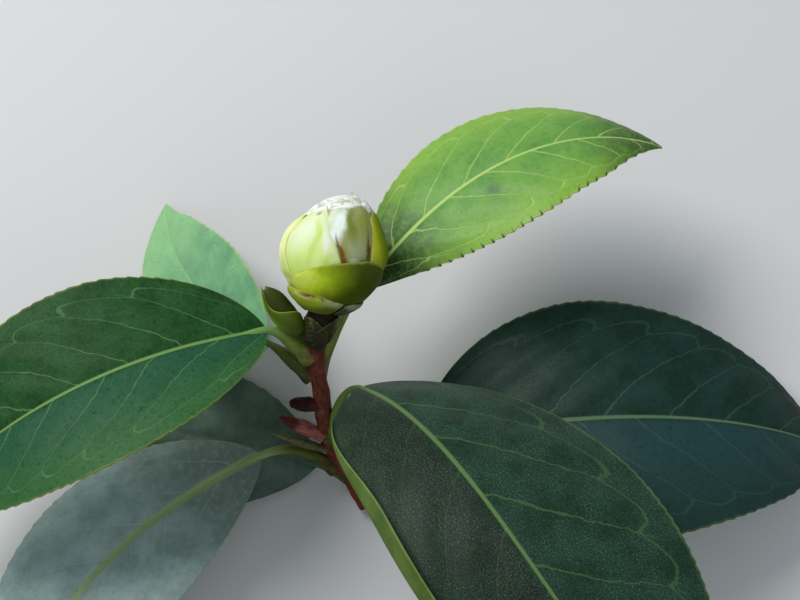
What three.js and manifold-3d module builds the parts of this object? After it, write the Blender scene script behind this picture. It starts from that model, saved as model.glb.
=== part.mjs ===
// A cut camellia twig that lies on a flat surface: a red-brown stem with one fat flower bud,
// a leaf bud beside it, a small bud lower down, two old bud stubs and seven toothed leaves.
// Millimetres, +Z up. The surface is z = 0 and the origin is under the middle of the twig.
// The twig rests on the tips of the left rear, left front and right leaves.

import * as THREE from 'three';
import { mergeVertices } from 'three/addons/utils/BufferGeometryUtils.js';
import Module from 'manifold-3d';

const wasm = await Module();
wasm.setup();

const RAD = Math.PI / 180;

// Clear space left between two pieces that touch on the real twig.
const SEAT_GAP = 0.3;

// From the bud's own working origin on the surface to the middle of the twig's footprint.
const TWIG_SHIFT = new THREE.Vector3(-9.45, 27.55, -0.48);

// The twig is looked at from the front and well above: the bud axis and bud faces use this.
const LOOK_ELEVATION = 75;
const LOOK_RIGHT = new THREE.Vector3(1, 0, 0);
const LOOK_UP = new THREE.Vector3(0, Math.sin(LOOK_ELEVATION * RAD), Math.cos(LOOK_ELEVATION * RAD));
const LOOK_FRONT = new THREE.Vector3().crossVectors(LOOK_RIGHT, LOOK_UP);

// Stem: centre line from the cut end up to the neck under the flower bud.
const STEM_LINE = [
  [5.4, -37.0, 2.3],
  [3.2, -33.2, 3.3],
  [0.7, -29.6, 5.5],
  [-1.3, -26.2, 8.3],
  [-2.05, -23.7, 11.0],
  [-2.5, -19.4, 16.9],
  [-3.1, -16.4, 22.3],
  [-2.9, -13.6, 27.0],
  [-2.3, -10.9, 30.6],
  [-1.5, -7.6, 33.2],
];
const STEM_CUT_RADIUS = 1.55;
const STEM_TOP_RADIUS = 1.2;
const STEM_NECK_RADIUS = 2.6;
const STEM_NECK_START = 0.8;
const STEM_NECK_END = 0.93;
const STEM_SIDES = 12;
const STEM_STEPS = 20;

// Leaves. Foot is where the stalk leaves the stem. Headings turn from +X towards +Y, and a
// rise is an angle above the surface. Sweep and hook turn the blade sideways along its length,
// droop and sag bend it down, roll and twist turn it about its midrib. Fold lifts both halves
// like an open book, curl bends them down again. Widest is a fraction of the blade's length.
// Late is how late the stalk turns from the heading at its foot: 1 is evenly, all the way.
const LEAVES = {
  leaf_1: {
    foot: [-2.3, -16.2, 20.8], stalk: 15.7, footHeading: 74, lift: 21, late: 1, heading: 51.4,
    rise: 20.1, roll: -13.4, length: 62, width: 26.8, droop: 17.8, sag: 20.2, sweep: -28.5, hook: -35.9,
    twist: -24.2, fold: 3, curl: 19.8, widest: 0.52, full: 0.8, skew: -0.03, stalkRadius: 1.1,
    colour: 0x7fae3a,
  },
  leaf_2: {
    foot: [-4.9, -16.1, 20.9], stalk: 8.6, footHeading: 145.5, lift: 26.4, late: 3, heading: 146,
    rise: -34.7, roll: -28.5, length: 45.9, width: 24.5, droop: -10.8, sag: -3.5, sweep: -25.8,
    hook: -26, twist: -11.9, fold: 11.9, curl: 10.2, widest: 0.4, full: 0.73, skew: -0.05,
    stalkRadius: 1.15,
    colour: 0x86b489,
  },
  leaf_3: {
    foot: [-4.8, -13.95, 25.4], stalk: 8.75, footHeading: 144, lift: 36, late: 3, heading: 194.3,
    rise: 24.2, roll: 17.8, length: 73.6, width: 33.3, droop: 62.3, sag: 7.2, sweep: 23.1, hook: 4.3,
    twist: -10.2, fold: 11.5, curl: 10.3, widest: 0.43, full: 0.76, skew: 0.02, stalkRadius: 1.3,
    colour: 0x2f6a3a,
  },
  leaf_4: {
    foot: [-1.3, -30.1, 5.6], stalk: 13.4, footHeading: 140, lift: 17.3, late: 1, heading: 206.7,
    rise: 7, roll: 10.4, length: 73, width: 29.8, droop: 17.5, sag: 12.6, sweep: 35.1, hook: 18.8,
    twist: 3.3, fold: 9.7, curl: 12.5, widest: 0.45, full: 0.78, skew: 0, stalkRadius: 1.3,
    colour: 0x7c9a84,
  },
  leaf_5: {
    foot: [-1.3, -25.5, 10.0], stalk: 15.45, footHeading: 71.7, lift: 50.2, late: 3, heading: -34.4,
    rise: 60.9, roll: -29.4, length: 96.8, width: 45.4, droop: 112.3, sag: -22.1, sweep: -87.1,
    hook: 85.8, twist: 43, fold: -3.7, curl: 20, widest: 0.491, full: 0.52, skew: -0.098,
    stalkRadius: 1.2, rim: 150, colour: 0x1f4a2c,
  },
  leaf_6: {
    foot: [1.7, -31.4, 4.2], stalk: 15.2, footHeading: 31.9, lift: 7.4, late: 1, heading: 8,
    rise: 27.8, roll: 0.8, length: 82.7, width: 44.5, droop: 45.3, sag: 34, sweep: -13.8, hook: -5.1,
    twist: -22.3, fold: 4.6, curl: 13.7, widest: 0.4, full: 0.79, skew: 0, stalkRadius: 1.3,
    colour: 0x1f4b3a,
  },
  leaf_7: {
    foot: [2.5, -33.0, 3.1], stalk: 7.5, footHeading: 140, lift: -10, late: 1, heading: 163,
    rise: 2, roll: 0, length: 56, width: 26, droop: 4, sag: 2, sweep: 16, hook: 6,
    twist: 0, fold: 3, curl: 5, widest: 0.44, full: 0.76, skew: 0, stalkRadius: 0.8,
    colour: 0x5e8a78,
  },
};

// Blades: thickness as a share of the length, thinner towards the margin. Only a leaf with a
// rim angle has its right edge rolled over, from a share of the half width outwards. The roll
// is narrow and tight at the foot of the blade and wide from RIM_WIDE_AT on.
const BLADE_THICKNESS_SHARE = 0.0135;
const BLADE_MARGIN_SHARE = 0.6;
const BLADE_END_HALF_WIDTH = 0.35;
const BLADE_TIP_START = 0.8;
const BLADE_TIP_NARROWING = 0.35;
const BLADE_STEPS = 14;
const BLADE_HALF_STEPS = 4;
const CROSS_STEPS = 16;
const BLADE_EDGE_CROWDING = 1.25;
const RIM_START_FOOT = 0.95;
const RIM_START = 0.77;
const RIM_SPAN_FOOT = 0.05;
const RIM_SPAN = 0.13;
const RIM_WIDE_AT = 0.36;
const RIM_FULL_AT = 0.1;
const RIM_FADE_AT = 0.85;
const RIM_FADE = 0.6;
const RIM_HALF_STEPS = 7;
const RIM_EDGE_CROWDING = 1.6;

// Stalks, and the midribs that carry them on under the blades.
const STALK_SIDES = 6;
const STALK_STEPS = 6;
const STALK_TAPER = 0.15;
const MIDRIB_STEPS = 48;
const MIDRIB_RINGS = 10;
const MIDRIB_REACH = 0.92;
const MIDRIB_TIP_RADIUS = 0.3;

// Flower bud: an egg of overlapping scales on a pale core.
const BUD_CENTRE = new THREE.Vector3(0, 0, 36);
const BUD_RADIUS = 9.7;
const BUD_TOP = 11.8;
const BUD_BOTTOM = 10.1;
const BUD_TOP_FULLNESS = 2.0;
const BUD_BOTTOM_FULLNESS = 1.6;
const BUD_TIP_CLOSING = 0.35;
const BUD_LEAN_RIGHT = 10.7;
const BUD_LEAN_FRONT = 5;
const BUD_APEX_OFFSET = 1.0;
const SCALE_LAYERS = 4;
const SCALE_THICKNESS = 0.25;
const SCALE_PITCH = 0.55;
const SCALE_EDGE_POWER = 1.7;
const CORE_DEPTH = 2.3;

// Bud scales. Layer 1 is the innermost. Turn is the middle of the scale round the bud axis,
// measured from the front towards the right, and half its half width. Foot and top are angles
// from the bottom of the bud up its side, and drop is how far the free edge falls at its ends.
const BUD_SCALES = {
  bud_scale_inner_front: { layer: 1, turn: 20, half: 75, foot: 60, top: 163, drop: 30 },
  bud_scale_inner_back: { layer: 1, turn: 185, half: 75, foot: 60, top: 158, drop: 30 },
  bud_scale_left: { layer: 2, turn: -50, half: 66, foot: 45, top: 146, drop: 61 },
  bud_scale_right: { layer: 2, turn: 107, half: 60, foot: 45, top: 152, drop: 16 },
  bud_scale_outer_left: { layer: 3, turn: -133, half: 77, foot: 32, top: 142, drop: 20 },
  bud_scale_outer_front: { layer: 3, turn: 47, half: 89, foot: 32, top: 94, drop: 31 },
  bud_scale_base_left: { layer: 4, turn: -60, half: 98, foot: 20, top: 52, drop: 10 },
  bud_scale_base_right: { layer: 4, turn: 120, half: 79, foot: 20, top: 49, drop: 7 },
};
const SCALE_STEPS_ROUND = 12;
const SCALE_STEPS_UP = 8;
const CORE_SIDES = 16;
const CORE_RINGS = 10;

// Leaf bud beside the flower bud: a small core between two pointed scales.
const LEAF_BUD = {
  foot: [-4.5, -12.5, 29.6],
  tip: [-12.0, -4.6, 35.9],
  radius: 2.75,
  widest: 0.52,
  sharpness: 1.5,
  full: 0.75,
};
const LEAF_BUD_PITCH = 0.68;
const LEAF_BUD_THICKNESS = 0.28;
const LEAF_BUD_CORE = { sunk: 1.28, reach: 0.8, footRadius: 0.8 };
const LEAF_BUD_STEPS_ROUND = 14;
const LEAF_BUD_STEPS_UP = 6;
const LEAF_BUD_TIP_RADIUS = 0.2;

// The left scale cups the whole foot of the leaf bud and narrows to a strip between the two
// shares of its height, and the right one is wide almost to its tip.
const LEAF_BUD_SCALES = {
  leaf_bud_scale_left: {
    layer: 2, turn: -75, half: 150, tipHalf: 32, narrowFrom: 0.2, narrowTo: 0.7, foot: 0.15, top: 0.95,
  },
  leaf_bud_scale_right: {
    layer: 1, turn: 50, half: 120, tipHalf: 70, narrowFrom: 0.3, narrowTo: 1, foot: 0.22, top: 0.92,
  },
};

// Small bud in the angle of the left front leaf, and the two old bud stubs on the stem.
const SMALL_BUDS = {
  lower_bud: {
    foot: [-1.7, -27.7, 8.2], tip: [-11.7, -25.3, 11.8], radius: 0.95, widest: 0.4, sharpness: 1.4,
    full: 0.75, colour: 0x8d9a3c,
  },
  old_stub_upper: {
    foot: [-3.4, -20.9, 15.1], tip: [-8.1, -20.9, 16.9], radius: 1.5, widest: 0.5, sharpness: 1,
    full: 0.3, colour: 0x4a1f22,
  },
  old_stub_lower: {
    foot: [-2.5, -25.3, 9.6], tip: [-10.0, -22.7, 13.1], radius: 1.4, widest: 0.45, sharpness: 1.2,
    full: 0.4, colour: 0x5a2626,
  },
};

const WHOLE_BUD = { sunk: 0, reach: 1, footRadius: 0.6 };
const POINTED_BUD_STEPS = 8;
const POINTED_BUD_SIDES = 10;
const POINTED_BUD_TIP_RADIUS = 0.3;

const STEM_COLOUR = 0x8a4a3c;
const BUD_CORE_COLOUR = 0xe9efdc;
const BUD_SCALE_COLOUR = 0xb4c96a;
const LEAF_BUD_COLOUR = 0x8fb03c;
const ROUGHNESS = 0.45;

function smooth(t) {
  const k = Math.min(1, Math.max(0, t));
  return k * k * (3 - 2 * k);
}

// Moves every vertex of a closed three.js shape by a rule, and merges the shared ones.
function reshape(geometry, rule) {
  const shape = geometry.clone();
  shape.deleteAttribute('normal');
  shape.deleteAttribute('uv');
  const merged = mergeVertices(shape, 1e-5);
  const place = merged.attributes.position;
  const vertex = new THREE.Vector3();
  for (let i = 0; i < place.count; i += 1) {
    vertex.fromBufferAttribute(place, i);
    const moved = rule(vertex);
    place.setXYZ(i, moved.x, moved.y, moved.z);
  }
  return mergeVertices(merged, 1e-4);
}

// A closed three.js shape as a solid that can be cut and joined.
function solidOf(geometry) {
  const vertProperties = new Float32Array(geometry.attributes.position.array);
  const triVerts = new Uint32Array(geometry.index.array);
  return new wasm.Manifold(new wasm.Mesh({ numProp: 3, vertProperties, triVerts }));
}

// The largest body of a solid, so that a cut leaves no loose scrap behind.
function largestBody(solid) {
  const bodies = solid.decompose();
  bodies.sort((a, b) => b.volume() - a.volume());
  return bodies[0];
}

// A solid's faces as a three.js shape.
function geometryOf(solid) {
  const mesh = solid.getMesh();
  const points = new Float32Array(mesh.numVert * 3);
  for (let i = 0; i < mesh.numVert; i += 1) {
    for (let k = 0; k < 3; k += 1) {
      points[i * 3 + k] = mesh.vertProperties[i * mesh.numProp + k];
    }
  }
  const geometry = new THREE.BufferGeometry();
  geometry.setAttribute('position', new THREE.BufferAttribute(points, 3));
  geometry.setIndex(new THREE.BufferAttribute(new Uint32Array(mesh.triVerts), 1));
  return geometry;
}

const twig = new THREE.Group();

function addPiece(name, solid, colour) {
  const geometry = geometryOf(solid);
  geometry.computeVertexNormals();
  const material = new THREE.MeshStandardMaterial({ color: colour, roughness: ROUGHNESS, metalness: 0 });
  const mesh = new THREE.Mesh(geometry, material);
  mesh.name = name;
  mesh.position.copy(TWIG_SHIFT);
  twig.add(mesh);
}

// A round limb along a row of stations, each with its place, its direction and its radius.
function limb(stations, sides) {
  const last = stations.length - 1;
  const base = new THREE.CylinderGeometry(1, 1, last, sides, last);
  const frames = [];
  let across = new THREE.Vector3(0, 0, 1).cross(stations[0].along);
  if (across.lengthSq() < 1e-4) {
    across = new THREE.Vector3(1, 0, 0);
  }
  for (const station of stations) {
    across = across.clone().addScaledVector(station.along, -across.dot(station.along)).normalize();
    frames.push({ across, third: new THREE.Vector3().crossVectors(across, station.along) });
  }
  return solidOf(reshape(base, (v) => {
    const at = Math.round(v.y + last / 2);
    const { place, radius } = stations[at];
    return place.clone()
      .addScaledVector(frames[at].across, v.x * radius)
      .addScaledVector(frames[at].third, v.z * radius);
  }));
}

// Stem, with a wider neck where the flower bud sits. Grow widens it all round.
const stemCurve = new THREE.CatmullRomCurve3(STEM_LINE.map((p) => new THREE.Vector3(...p)));
function stemSolid(grow) {
  const stations = [];
  for (let i = 0; i <= STEM_STEPS; i += 1) {
    const t = i / STEM_STEPS;
    const taper = THREE.MathUtils.lerp(STEM_CUT_RADIUS, STEM_TOP_RADIUS, t);
    const rise = (t - STEM_NECK_START) / (STEM_NECK_END - STEM_NECK_START);
    const neck = (STEM_NECK_RADIUS - STEM_TOP_RADIUS) * smooth(rise);
    stations.push({
      place: stemCurve.getPointAt(t),
      along: stemCurve.getTangentAt(t),
      radius: taper + neck + grow,
    });
  }
  return limb(stations, STEM_SIDES);
}

// Directions of a leaf at a heading, a rise and a roll: along it, up from it and to its right.
function leafAxes(heading, rise, roll) {
  const h = heading * RAD;
  const r = rise * RAD;
  const a = roll * RAD;
  const along = new THREE.Vector3(Math.cos(r) * Math.cos(h), Math.cos(r) * Math.sin(h), Math.sin(r));
  const up = new THREE.Vector3(-Math.sin(r) * Math.cos(h), -Math.sin(r) * Math.sin(h), Math.cos(r));
  const right = new THREE.Vector3(Math.sin(h), -Math.cos(h), 0);
  const upRolled = up.clone().multiplyScalar(Math.cos(a)).addScaledVector(right, Math.sin(a));
  const rightRolled = right.clone().multiplyScalar(Math.cos(a)).addScaledVector(up, -Math.sin(a));
  return { along, up: upRolled, right: rightRolled };
}

// Stations along the stalk and then the midrib, one row for each.
function leafSpine(leaf) {
  const stalk = [];
  const midrib = [];
  const place = new THREE.Vector3(...leaf.foot);
  for (let i = 0; i < STALK_STEPS; i += 1) {
    const t = ((i + 0.5) / STALK_STEPS) ** leaf.late;
    const heading = THREE.MathUtils.lerp(leaf.footHeading, leaf.heading, t);
    const rise = THREE.MathUtils.lerp(leaf.lift, leaf.rise, t);
    const axes = leafAxes(heading, rise, leaf.roll);
    stalk.push({ place: place.clone(), ...axes });
    place.addScaledVector(axes.along, leaf.stalk / STALK_STEPS);
  }
  const axesAt = (u) => leafAxes(
    leaf.heading + leaf.sweep * u + leaf.hook * u * u,
    leaf.rise - leaf.droop * u - leaf.sag * u * u,
    leaf.roll + leaf.twist * u,
  );
  for (let i = 0; i <= MIDRIB_STEPS; i += 1) {
    midrib.push({ place: place.clone(), ...axesAt(i / MIDRIB_STEPS) });
    place.addScaledVector(axesAt((i + 0.5) / MIDRIB_STEPS).along, leaf.length / MIDRIB_STEPS);
  }
  return { stalk, midrib };
}

// Half width of the blade at a share of its length.
function halfWidth(leaf, u) {
  const power = Math.log(0.5) / Math.log(leaf.widest);
  const swell = Math.max(0, Math.sin(Math.PI * Math.min(1, u) ** power)) ** leaf.full;
  const taper = 1 - BLADE_TIP_NARROWING * smooth((u - BLADE_TIP_START) / (1 - BLADE_TIP_START));
  return Math.max(BLADE_END_HALF_WIDTH, 0.5 * leaf.width * swell * taper);
}

// Slope of the blade across its width, at a share of the half width and a side of the midrib.
function crossSlope(leaf, share, side, u) {
  let slope = leaf.fold - leaf.curl * share;
  if (leaf.rim && side > 0) {
    const fade = RIM_FADE * smooth((u - RIM_FADE_AT) / (1 - RIM_FADE_AT));
    const rise = smooth(u / RIM_FULL_AT) * (1 - fade);
    const wide = smooth(u / RIM_WIDE_AT);
    const start = THREE.MathUtils.lerp(RIM_START_FOOT, RIM_START, wide);
    const span = THREE.MathUtils.lerp(RIM_SPAN_FOOT, RIM_SPAN, wide);
    slope += leaf.rim * rise * smooth((share - start) / span);
  }
  return slope * RAD;
}

// Point of the blade at a share of its length, a signed share of its half width (right side
// positive) and a signed share of its thickness.
function bladePoint(leaf, midrib, u, across, layer) {
  const station = midrib[Math.round(u * MIDRIB_STEPS)];
  const side = Math.sign(across);
  const share = Math.abs(across);
  const reach = halfWidth(leaf, u) * (1 + leaf.skew * side);
  let out = 0;
  let lift = 0;
  for (let i = 0; i < CROSS_STEPS; i += 1) {
    const slope = crossSlope(leaf, (i + 0.5) / CROSS_STEPS * share, side, u);
    out += Math.cos(slope) * reach * share / CROSS_STEPS;
    lift += Math.sin(slope) * reach * share / CROSS_STEPS;
  }
  const slope = crossSlope(leaf, share, side, u);
  const thin = THREE.MathUtils.lerp(1, BLADE_MARGIN_SHARE, share * share);
  const offset = layer * thin * BLADE_THICKNESS_SHARE * leaf.length / 2;
  return station.place.clone()
    .addScaledVector(station.right, side * (out - Math.sin(slope) * offset))
    .addScaledVector(station.up, lift + Math.cos(slope) * offset);
}

// A blade with its stalk and the midrib that carries the stalk on under it.
function leafSolid(leaf) {
  const { stalk, midrib } = leafSpine(leaf);
  const halves = leaf.rim ? RIM_HALF_STEPS : BLADE_HALF_STEPS;
  const crowding = leaf.rim ? RIM_EDGE_CROWDING : BLADE_EDGE_CROWDING;
  const sheet = new THREE.BoxGeometry(1, 2, 2, BLADE_STEPS, 2 * halves, 1);
  const blade = solidOf(reshape(sheet, (v) => {
    const t = v.x + 0.5;
    const u = Math.round((0.6 * t + 0.2 * (1 - Math.cos(Math.PI * t))) * MIDRIB_STEPS) / MIDRIB_STEPS;
    const share = 1 - (1 - Math.abs(v.y)) ** crowding;
    return bladePoint(leaf, midrib, u, -Math.sign(v.y) * share, v.z);
  }));
  const stations = stalk.map((s, i) => ({
    ...s,
    radius: leaf.stalkRadius * (1 - STALK_TAPER * i / STALK_STEPS),
  }));
  const thickness = BLADE_THICKNESS_SHARE * leaf.length;
  const ribStart = leaf.stalkRadius * (1 - STALK_TAPER);
  for (let i = 0; i <= MIDRIB_RINGS; i += 1) {
    const t = i / MIDRIB_RINGS;
    const at = Math.round(t * MIDRIB_REACH * MIDRIB_STEPS);
    const radius = THREE.MathUtils.lerp(ribStart, MIDRIB_TIP_RADIUS, t ** 0.6);
    const sink = Math.max(0, radius - thickness * 0.25) * smooth(i / 3);
    stations.push({
      ...midrib[at],
      place: midrib[at].place.clone().addScaledVector(midrib[at].up, -sink),
      radius,
    });
  }
  return { blade, rib: limb(stations, STALK_SIDES), stations };
}

// Frame of a bud that points along an axis: up it, to its front and to its right.
function budFrame(axis) {
  const up = axis.clone().normalize();
  const front = LOOK_FRONT.clone().addScaledVector(up, -LOOK_FRONT.dot(up)).normalize();
  return { up, front, right: new THREE.Vector3().crossVectors(up, front) };
}

const budAxis = LOOK_UP.clone().multiplyScalar(Math.cos(BUD_LEAN_RIGHT * RAD))
  .addScaledVector(LOOK_RIGHT, Math.sin(BUD_LEAN_RIGHT * RAD))
  .addScaledVector(LOOK_FRONT, Math.sin(BUD_LEAN_FRONT * RAD));
const flowerFrame = budFrame(budAxis);

// Point on the flower bud's egg, sunk under its outer face. Turn is the angle round the axis
// from the front, and height the angle from the bottom of the bud up its side. The layers
// close up towards the tip.
function eggPoint(turn, height, sunk) {
  const cosine = -Math.cos(height * RAD);
  const half = cosine > 0 ? BUD_TOP : BUD_BOTTOM;
  const fullness = cosine > 0 ? BUD_TOP_FULLNESS : BUD_BOTTOM_FULLNESS;
  const depth = sunk * (1 - BUD_TIP_CLOSING * Math.max(0, cosine) ** 2);
  const spread = Math.sqrt(Math.max(0, 1 - Math.abs(cosine) ** fullness));
  const along = cosine * (half - depth);
  const radius = spread * (BUD_RADIUS - depth);
  const lean = BUD_APEX_OFFSET * Math.max(0, cosine) ** 2;
  return BUD_CENTRE.clone()
    .addScaledVector(flowerFrame.up, along)
    .addScaledVector(flowerFrame.front, radius * Math.cos(turn * RAD))
    .addScaledVector(flowerFrame.right, radius * Math.sin(turn * RAD) + lean);
}

// One curved scale of the flower bud.
function budScaleSolid(scale) {
  const outer = (SCALE_LAYERS - scale.layer) * SCALE_PITCH;
  const plate = new THREE.BoxGeometry(2, 1, 1, SCALE_STEPS_ROUND, SCALE_STEPS_UP, 1);
  return solidOf(reshape(plate, (v) => {
    const turn = scale.turn + v.x * scale.half;
    const top = scale.top - scale.drop * Math.abs(v.x) ** SCALE_EDGE_POWER;
    const height = THREE.MathUtils.lerp(scale.foot, top, v.y + 0.5);
    return eggPoint(turn, height, outer + (0.5 - v.z) * SCALE_THICKNESS);
  }));
}

// The silky petals inside, closed to one egg.
function budCoreSolid() {
  const ball = new THREE.SphereGeometry(1, CORE_SIDES, CORE_RINGS);
  return solidOf(reshape(ball, (v) => {
    const height = Math.acos(THREE.MathUtils.clamp(-v.y, -1, 1)) / RAD;
    const turn = Math.atan2(v.x, v.z) / RAD;
    return eggPoint(turn, height, CORE_DEPTH);
  }));
}

// Radius of a pointed bud along its axis, from its foot (0) to its tip (1).
function pointedRadius(bud, t) {
  const power = Math.log(0.5) / Math.log(bud.widest);
  const swell = Math.max(0, Math.sin(Math.PI * t ** power)) ** bud.full;
  return bud.radius * swell * (1 - 0.25 * t ** bud.sharpness);
}

// A pointed bud as one body, or the core of one, sunk under its scales.
function pointedBudSolid(bud, core) {
  const start = new THREE.Vector3(...bud.foot);
  const end = new THREE.Vector3(...bud.tip);
  const along = end.clone().sub(start).normalize();
  const stations = [];
  for (let i = 0; i <= POINTED_BUD_STEPS; i += 1) {
    const t = i / POINTED_BUD_STEPS * core.reach;
    const swell = pointedRadius(bud, t) - core.sunk;
    const radius = Math.max(POINTED_BUD_TIP_RADIUS, core.footRadius * (1 - t), swell);
    stations.push({ place: start.clone().lerp(end, t), along, radius });
  }
  return limb(stations, POINTED_BUD_SIDES);
}

// One of the two scales that wrap the leaf bud.
function leafBudScaleSolid(scale) {
  const start = new THREE.Vector3(...LEAF_BUD.foot);
  const end = new THREE.Vector3(...LEAF_BUD.tip);
  const frame = budFrame(end.clone().sub(start));
  const sunk = (2 - scale.layer) * LEAF_BUD_PITCH;
  const plate = new THREE.BoxGeometry(2, 1, 1, LEAF_BUD_STEPS_ROUND, LEAF_BUD_STEPS_UP, 1);
  return solidOf(reshape(plate, (v) => {
    const rise = v.y + 0.5;
    const t = THREE.MathUtils.lerp(scale.foot, scale.top, rise);
    const narrow = smooth((rise - scale.narrowFrom) / (scale.narrowTo - scale.narrowFrom));
    const span = THREE.MathUtils.lerp(scale.half, scale.tipHalf, narrow);
    const turn = (scale.turn + v.x * span) * RAD;
    const depth = sunk + (0.5 - v.z) * LEAF_BUD_THICKNESS;
    const radius = Math.max(LEAF_BUD_TIP_RADIUS, pointedRadius(LEAF_BUD, t) - depth);
    return start.clone().lerp(end, t)
      .addScaledVector(frame.front, radius * Math.cos(turn))
      .addScaledVector(frame.right, radius * Math.sin(turn));
  }));
}

// Assembly: the stem first, then the buds, then the leaves, each cut clear of what carries it.
addPiece('stem', stemSolid(0), STEM_COLOUR);
const clearance = [stemSolid(SEAT_GAP)];

// Cuts a piece clear of the stem and of the stalks that are already in place.
function clearOf(solid) {
  let left = solid;
  for (const keep of clearance) {
    left = left.subtract(keep);
  }
  return largestBody(left);
}

addPiece('bud_core', clearOf(budCoreSolid()), BUD_CORE_COLOUR);
for (const [name, scale] of Object.entries(BUD_SCALES)) {
  addPiece(name, clearOf(budScaleSolid(scale)), BUD_SCALE_COLOUR);
}

addPiece('leaf_bud_core', clearOf(pointedBudSolid(LEAF_BUD, LEAF_BUD_CORE)), LEAF_BUD_COLOUR);
for (const [name, scale] of Object.entries(LEAF_BUD_SCALES)) {
  addPiece(name, clearOf(leafBudScaleSolid(scale)), LEAF_BUD_COLOUR);
}

for (const [name, bud] of Object.entries(SMALL_BUDS)) {
  addPiece(name, clearOf(pointedBudSolid(bud, WHOLE_BUD)), bud.colour);
}

for (const [name, leaf] of Object.entries(LEAVES)) {
  const { blade, rib, stations } = leafSolid(leaf);
  addPiece(name, clearOf(blade.add(rib)), leaf.colour);
  const grown = stations.slice(0, STALK_STEPS).map((s) => ({ ...s, radius: s.radius + SEAT_GAP }));
  grown[0].place = grown[0].place.clone().addScaledVector(grown[0].along, -SEAT_GAP);
  clearance.push(limb(grown, STALK_SIDES));
}

export default twig;
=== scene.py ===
import math
import random

import bmesh
import bpy
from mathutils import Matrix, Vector, noise
from mathutils.geometry import interpolate_bezier


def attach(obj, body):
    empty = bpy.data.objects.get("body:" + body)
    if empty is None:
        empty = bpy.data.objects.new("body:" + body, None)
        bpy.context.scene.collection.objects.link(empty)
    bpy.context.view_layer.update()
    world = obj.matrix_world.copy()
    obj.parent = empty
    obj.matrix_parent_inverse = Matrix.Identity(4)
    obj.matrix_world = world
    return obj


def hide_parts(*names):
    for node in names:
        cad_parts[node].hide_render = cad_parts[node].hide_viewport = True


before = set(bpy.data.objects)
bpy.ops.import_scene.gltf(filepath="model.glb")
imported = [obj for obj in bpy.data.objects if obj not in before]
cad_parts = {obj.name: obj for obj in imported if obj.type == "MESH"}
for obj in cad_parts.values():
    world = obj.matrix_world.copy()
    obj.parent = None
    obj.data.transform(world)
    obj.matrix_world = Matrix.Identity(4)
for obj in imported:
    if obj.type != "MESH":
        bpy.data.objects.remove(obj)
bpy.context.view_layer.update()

# Stem: a young woody shoot, red-brown and finely furrowed, cut off square at its lower end.
# It swells at each leaf foot and widens into a neck that carries the flower bud. The neck is
# painted near black as shade under the bud.
MM = 0.001
TWIG_SHIFT = Vector((-9.45, 27.55, -0.48))
STEM_LINE = [
    (5.4, -37.0, 2.3), (3.2, -33.2, 3.3), (0.7, -29.6, 5.5), (-1.3, -26.2, 8.3),
    (-2.05, -23.7, 11.0), (-2.5, -19.4, 16.9), (-3.1, -16.4, 22.3), (-2.9, -13.6, 27.0),
    (-2.3, -10.9, 30.6), (-1.5, -7.6, 33.2),
]
STEM_RINGS = 150
STEM_SIDES = 40
STEM_CUT_RADIUS = 1.62
STEM_TOP_RADIUS = 1.32
STEM_NECK_RADIUS = 2.55
STEM_NODES = [(0.07, 0.12), (0.2, 0.14), (0.31, 0.16), (0.44, 0.14), (0.56, 0.12), (0.72, 0.15)]
BARK_RED = (0.155, 0.034, 0.016)
BARK_DARK = (0.075, 0.018, 0.009)
BARK_PALE = (0.27, 0.1, 0.065)
NECK_PAINTED_SHADE = (0.006, 0.006, 0.002)
RELIEF_DEPTH = 0.0002


def smooth(t):
    k = min(1.0, max(0.0, t))
    return k * k * (3 - 2 * k)


def mix(a, b, t):
    return a + (b - a) * t


def line_stations(points, count):
    """Evenly spaced places and directions along a smooth line through the points."""
    knots = [Vector(p) for p in points]
    fine = []
    for i in range(len(knots) - 1):
        before = knots[max(0, i - 1)]
        after = knots[min(len(knots) - 1, i + 2)]
        first = knots[i] + (knots[i + 1] - before) / 6
        second = knots[i + 1] - (after - knots[i]) / 6
        part = interpolate_bezier(knots[i], first, second, knots[i + 1], 32)
        fine += part if i == len(knots) - 2 else part[:-1]
    reach = [0.0]
    for a, b in zip(fine, fine[1:]):
        reach.append(reach[-1] + (b - a).length)
    stations = []
    at = 0
    for i in range(count + 1):
        want = reach[-1] * i / count
        while at < len(fine) - 2 and reach[at + 1] < want:
            at += 1
        share = (want - reach[at]) / (reach[at + 1] - reach[at])
        place = fine[at].lerp(fine[at + 1], min(1.0, share))
        stations.append((place, (fine[at + 1] - fine[at]).normalized()))
    return stations, reach[-1]


def round_limb(stations, sides, radius_at):
    """A capped cylinder with a ring for each station, bent along them."""
    bm = bmesh.new()
    rows = len(stations) - 1
    uv = bm.loops.layers.uv.new("limb")
    bmesh.ops.create_cone(bm, cap_ends=True, segments=sides, radius1=1, radius2=1, depth=1)
    long_edges = [e for e in bm.edges if abs(e.verts[0].co.z - e.verts[1].co.z) > 0.5]
    bmesh.ops.subdivide_edges(bm, edges=long_edges, cuts=rows - 1)
    for face in bm.faces:
        middle = face.calc_center_median()
        face_turn = math.atan2(middle.y, middle.x)
        for loop in face.loops:
            turn = math.atan2(loop.vert.co.y, loop.vert.co.x)
            if turn - face_turn > math.pi:
                turn -= 2 * math.pi
            if face_turn - turn > math.pi:
                turn += 2 * math.pi
            loop[uv].uv = (turn / (2 * math.pi), loop.vert.co.z + 0.5)
    frames = []
    across = Vector((0, 0, 1)).cross(stations[0][1])
    if across.length < 0.01:
        across = Vector((1, 0, 0))
    for place, along in stations:
        across = (across - along * across.dot(along)).normalized()
        frames.append((place, across, across.cross(along)))
    for vert in bm.verts:
        t = vert.co.z + 0.5
        place, side, third = frames[round(t * rows)]
        turn = math.atan2(vert.co.y, vert.co.x)
        radius = radius_at(t, turn)
        vert.co = place + (side * math.cos(turn) - third * math.sin(turn)) * radius
    bmesh.ops.recalc_face_normals(bm, faces=bm.faces[:])
    return bm


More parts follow.
